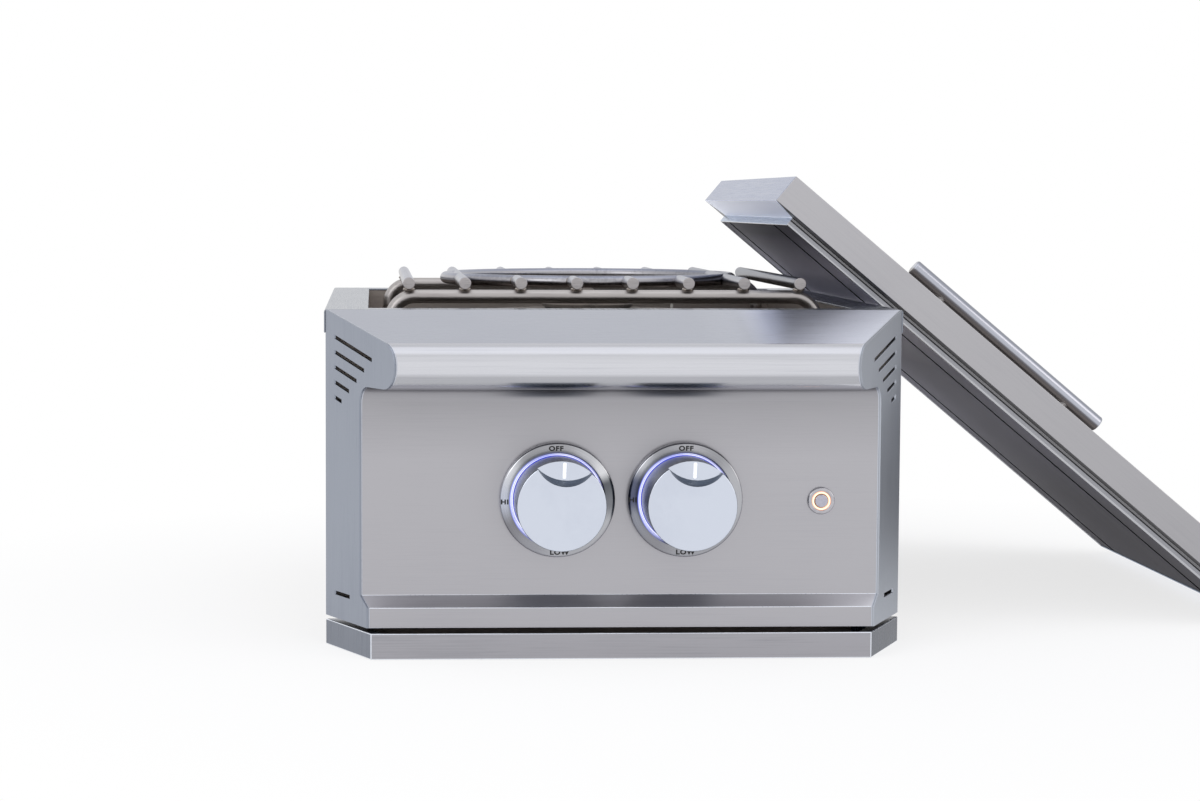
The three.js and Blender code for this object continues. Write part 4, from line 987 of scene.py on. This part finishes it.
# The flange is painted bright, with a faint painted glint, along its two ends, and painted dark as shade
# along its two sides.
inward = []
for direction, length in ((lid_along, far_along), (to_rear, far_deep)):
    run_in = add(tree, "ShaderNodeVectorMath", {0: arm, 1: direction}, operation="DOT_PRODUCT")
    inward.append(add(tree, "ShaderNodeMath", {0: run_in.outputs["Value"], 1: length / 2},
                      operation="PINGPONG"))
at_end = add(tree, "ShaderNodeMath", {0: inward[0], 1: inward[1]}, operation="LESS_THAN")
flange_painted_tone = add(tree, "ShaderNodeMix", {0: at_end, 6: linear("#2E2C2C"), 7: linear("#EEF2FF")},
                  data_type="RGBA")
flange_painted_glint = add(tree, "ShaderNodeMath", {0: at_end, 1: 0.17}, operation="MULTIPLY")
flange_metal = add(tree, "ShaderNodeMath", {0: 1, 1: at_end}, operation="SUBTRACT")
wire(shader, {"Base Color": flange_painted_tone.outputs[2], "Metallic": flange_metal,
              "Emission Strength": flange_painted_glint, "Emission Color": linear("#D0D8F4")})
lip_drop = 28 * mm
lip_height = 6.4 * mm
lip_foot = lid_origin.dot(lid_up) - lip_drop
# Painted light and shade across the lip's wall: bright at its foot, with a painted dark line above its
# middle.
shaded_along(lip_steel, lid_up, lip_foot, lip_foot + lip_height, [
    (0.0, "#FFFFFF"), (0.2, "#FFFFFF"), (0.24, "#D6D6D8"), (0.56, "#DADADC"), (0.6, "#48484A"),
    (0.72, "#48484A"), (0.76, "#C8C6C4"), (1.0, "#BAB8B8")])
soft_edged("lid_shell", "lid_shell_sheet", lid_steels, 0.5, lid_region)

# Lid liner: a dull steel sheet under the lid, brushed along the lid's length. Two seams run along it and are
# pressed in as grooves, painted near black as their shade.
lid_under_steel = brushed_steel("dull_stainless_lid_liner", "#B4B2C0", "#BFBDCB", (60, 1.5, 1.5), 0.6,
                                lid_turn)
groove_painted_shade = brushed_steel("seam_painted_black_shade", "#0B0A0C", "#121114", (5, 5, 5), 0.7)
for dull in (lid_under_steel, groove_painted_shade):
    wire(dull.node_tree.nodes["Principled BSDF"], {"Metallic": 0, "Specular IOR Level": 0.1})
# Painted light and shade along the liner: dark at both ends and brightest near the upper end.
shaded_along(lid_under_steel, lid_along, *lid_run, [
    (0.0, "#7C7A7C"), (0.07, "#807E80"), (0.17, "#FFFFFF"), (0.28, "#FFFFFF"), (0.4, "#A2A2A8"),
    (0.5, "#A2A2A8"), (0.75, "#777678"), (1.0, "#747274")])
seams = (92 * mm, 330 * mm)
seam_width = 8 * mm
seam_depth = 0.8 * mm
seam_wall = 0.02 * mm
bm = bmesh.new()
spans = lid_spans("lid_liner")
add_box(bm, [b - a for a, b in spans], [(a + b) / 2 for a, b in spans])
for seam in seams:
    for edge in (seam - seam_width / 2, seam + seam_width / 2):
        bmesh.ops.bisect_plane(bm, geom=bm.verts[:] + bm.edges[:] + bm.faces[:], dist=0.001 * mm,
                               plane_co=(0, edge, 0), plane_no=to_rear)
bm.normal_update()
grooves = [f for f in bm.faces if f.normal.z < -0.9
           and any(abs(f.calc_center_median().y - seam) < 0.3 * mm for seam in seams)]
for groove in grooves:
    cut = bmesh.ops.inset_individual(bm, faces=[groove], thickness=seam_wall)
    groove.material_index = 1
    for wall in cut["faces"]:
        wall.material_index = 1
    bmesh.ops.translate(bm, vec=(0, 0, seam_depth), verts=groove.verts)
lay = Matrix.Translation(lid_origin) @ Matrix.Rotation(lid_lean, 4, "Y")
bmesh.ops.transform(bm, matrix=lay, verts=bm.verts)
liner_sheet = new_object("lid_liner_sheet", bm, [lid_under_steel, groove_painted_shade])
liner_sheet.data.shade_flat()
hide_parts("lid_liner")
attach(liner_sheet, "lid")

# Lid handle: a solid stainless bar, polished along its length, with rounded-off ends. It
# stands across two short turned posts of the same steel, which run up into it.
handle_steel = brushed_steel("polished_handle_bar", "#B4B6BE", "#C2C4CC", (60, 1.2, 1.2), 0.2, lid_turn)
(start, end), deep, rise = lid_spans("lid_handle_bar")
middle = sum(deep) / 2
lift = sum(rise) / 2
bar_radius = 6.35 * mm
bar_rounding = 1.8 * mm
bar_sides = 40
post_radius = 5 * mm
post_sides = 32
post_overlap = 3 * mm
axis_rise = lid_origin.dot(lid_up) + lift
# Painted light on the bar: a painted highlight above its middle and painted shade, dark and warm, along its
# underside.
shaded_along(handle_steel, lid_up, axis_rise - bar_radius, axis_rise + bar_radius, [
    (0.0, "#6E665E"), (0.3, "#A59D93"), (0.4, "#B8B4B2"), (0.5, "#EEF0F4"), (0.7, "#F4F4F8"),
    (0.85, "#C8CAD0"), (1.0, "#A0A2A8")])
# The posts take a lighter copy of the steel, painted light.
post_steel = brushed_steel("polished_handle_post_painted_light", "#DCDADC", "#E8E6E8", (1.2, 1.2, 1.2), 0.4)
bm = bmesh.new()
bmesh.ops.create_cone(bm, cap_ends=True, segments=bar_sides, radius1=bar_radius,
                      radius2=bar_radius, depth=end - start)
rims = [e for f in bm.faces if len(f.verts) > 4 for e in f.edges]
bmesh.ops.bevel(bm, geom=rims, offset=bar_rounding, segments=5, profile=0.5, affect="EDGES", material=-1)
spot = lay @ Matrix.Translation(((start + end) / 2, middle, lift))
lengthways = Matrix.Rotation(math.radians(90), 4, "Y")
bmesh.ops.transform(bm, matrix=spot @ lengthways, verts=bm.verts)
handle = new_object("lid_handle_bar_turned", bm, [handle_steel])
even_shading(handle, keep_sharp=False)
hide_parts("lid_handle_bar")
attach(handle, "lid")
for node in ("lid_upper_handle_post", "lid_lower_handle_post"):
    along, _, (start, end) = lid_spans(node)
    bm = bmesh.new()
    bmesh.ops.create_cone(bm, cap_ends=True, segments=post_sides, radius1=post_radius,
                          radius2=post_radius, depth=end - start + post_overlap)
    spot = lay @ Matrix.Translation((sum(along) / 2, middle, (start + end + post_overlap) / 2))
    bmesh.ops.transform(bm, matrix=spot, verts=bm.verts)
    post = new_object(f"{node}_turned", bm, [post_steel])
    even_shading(post, keep_sharp=False)
    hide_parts(node)
    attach(post, "lid")
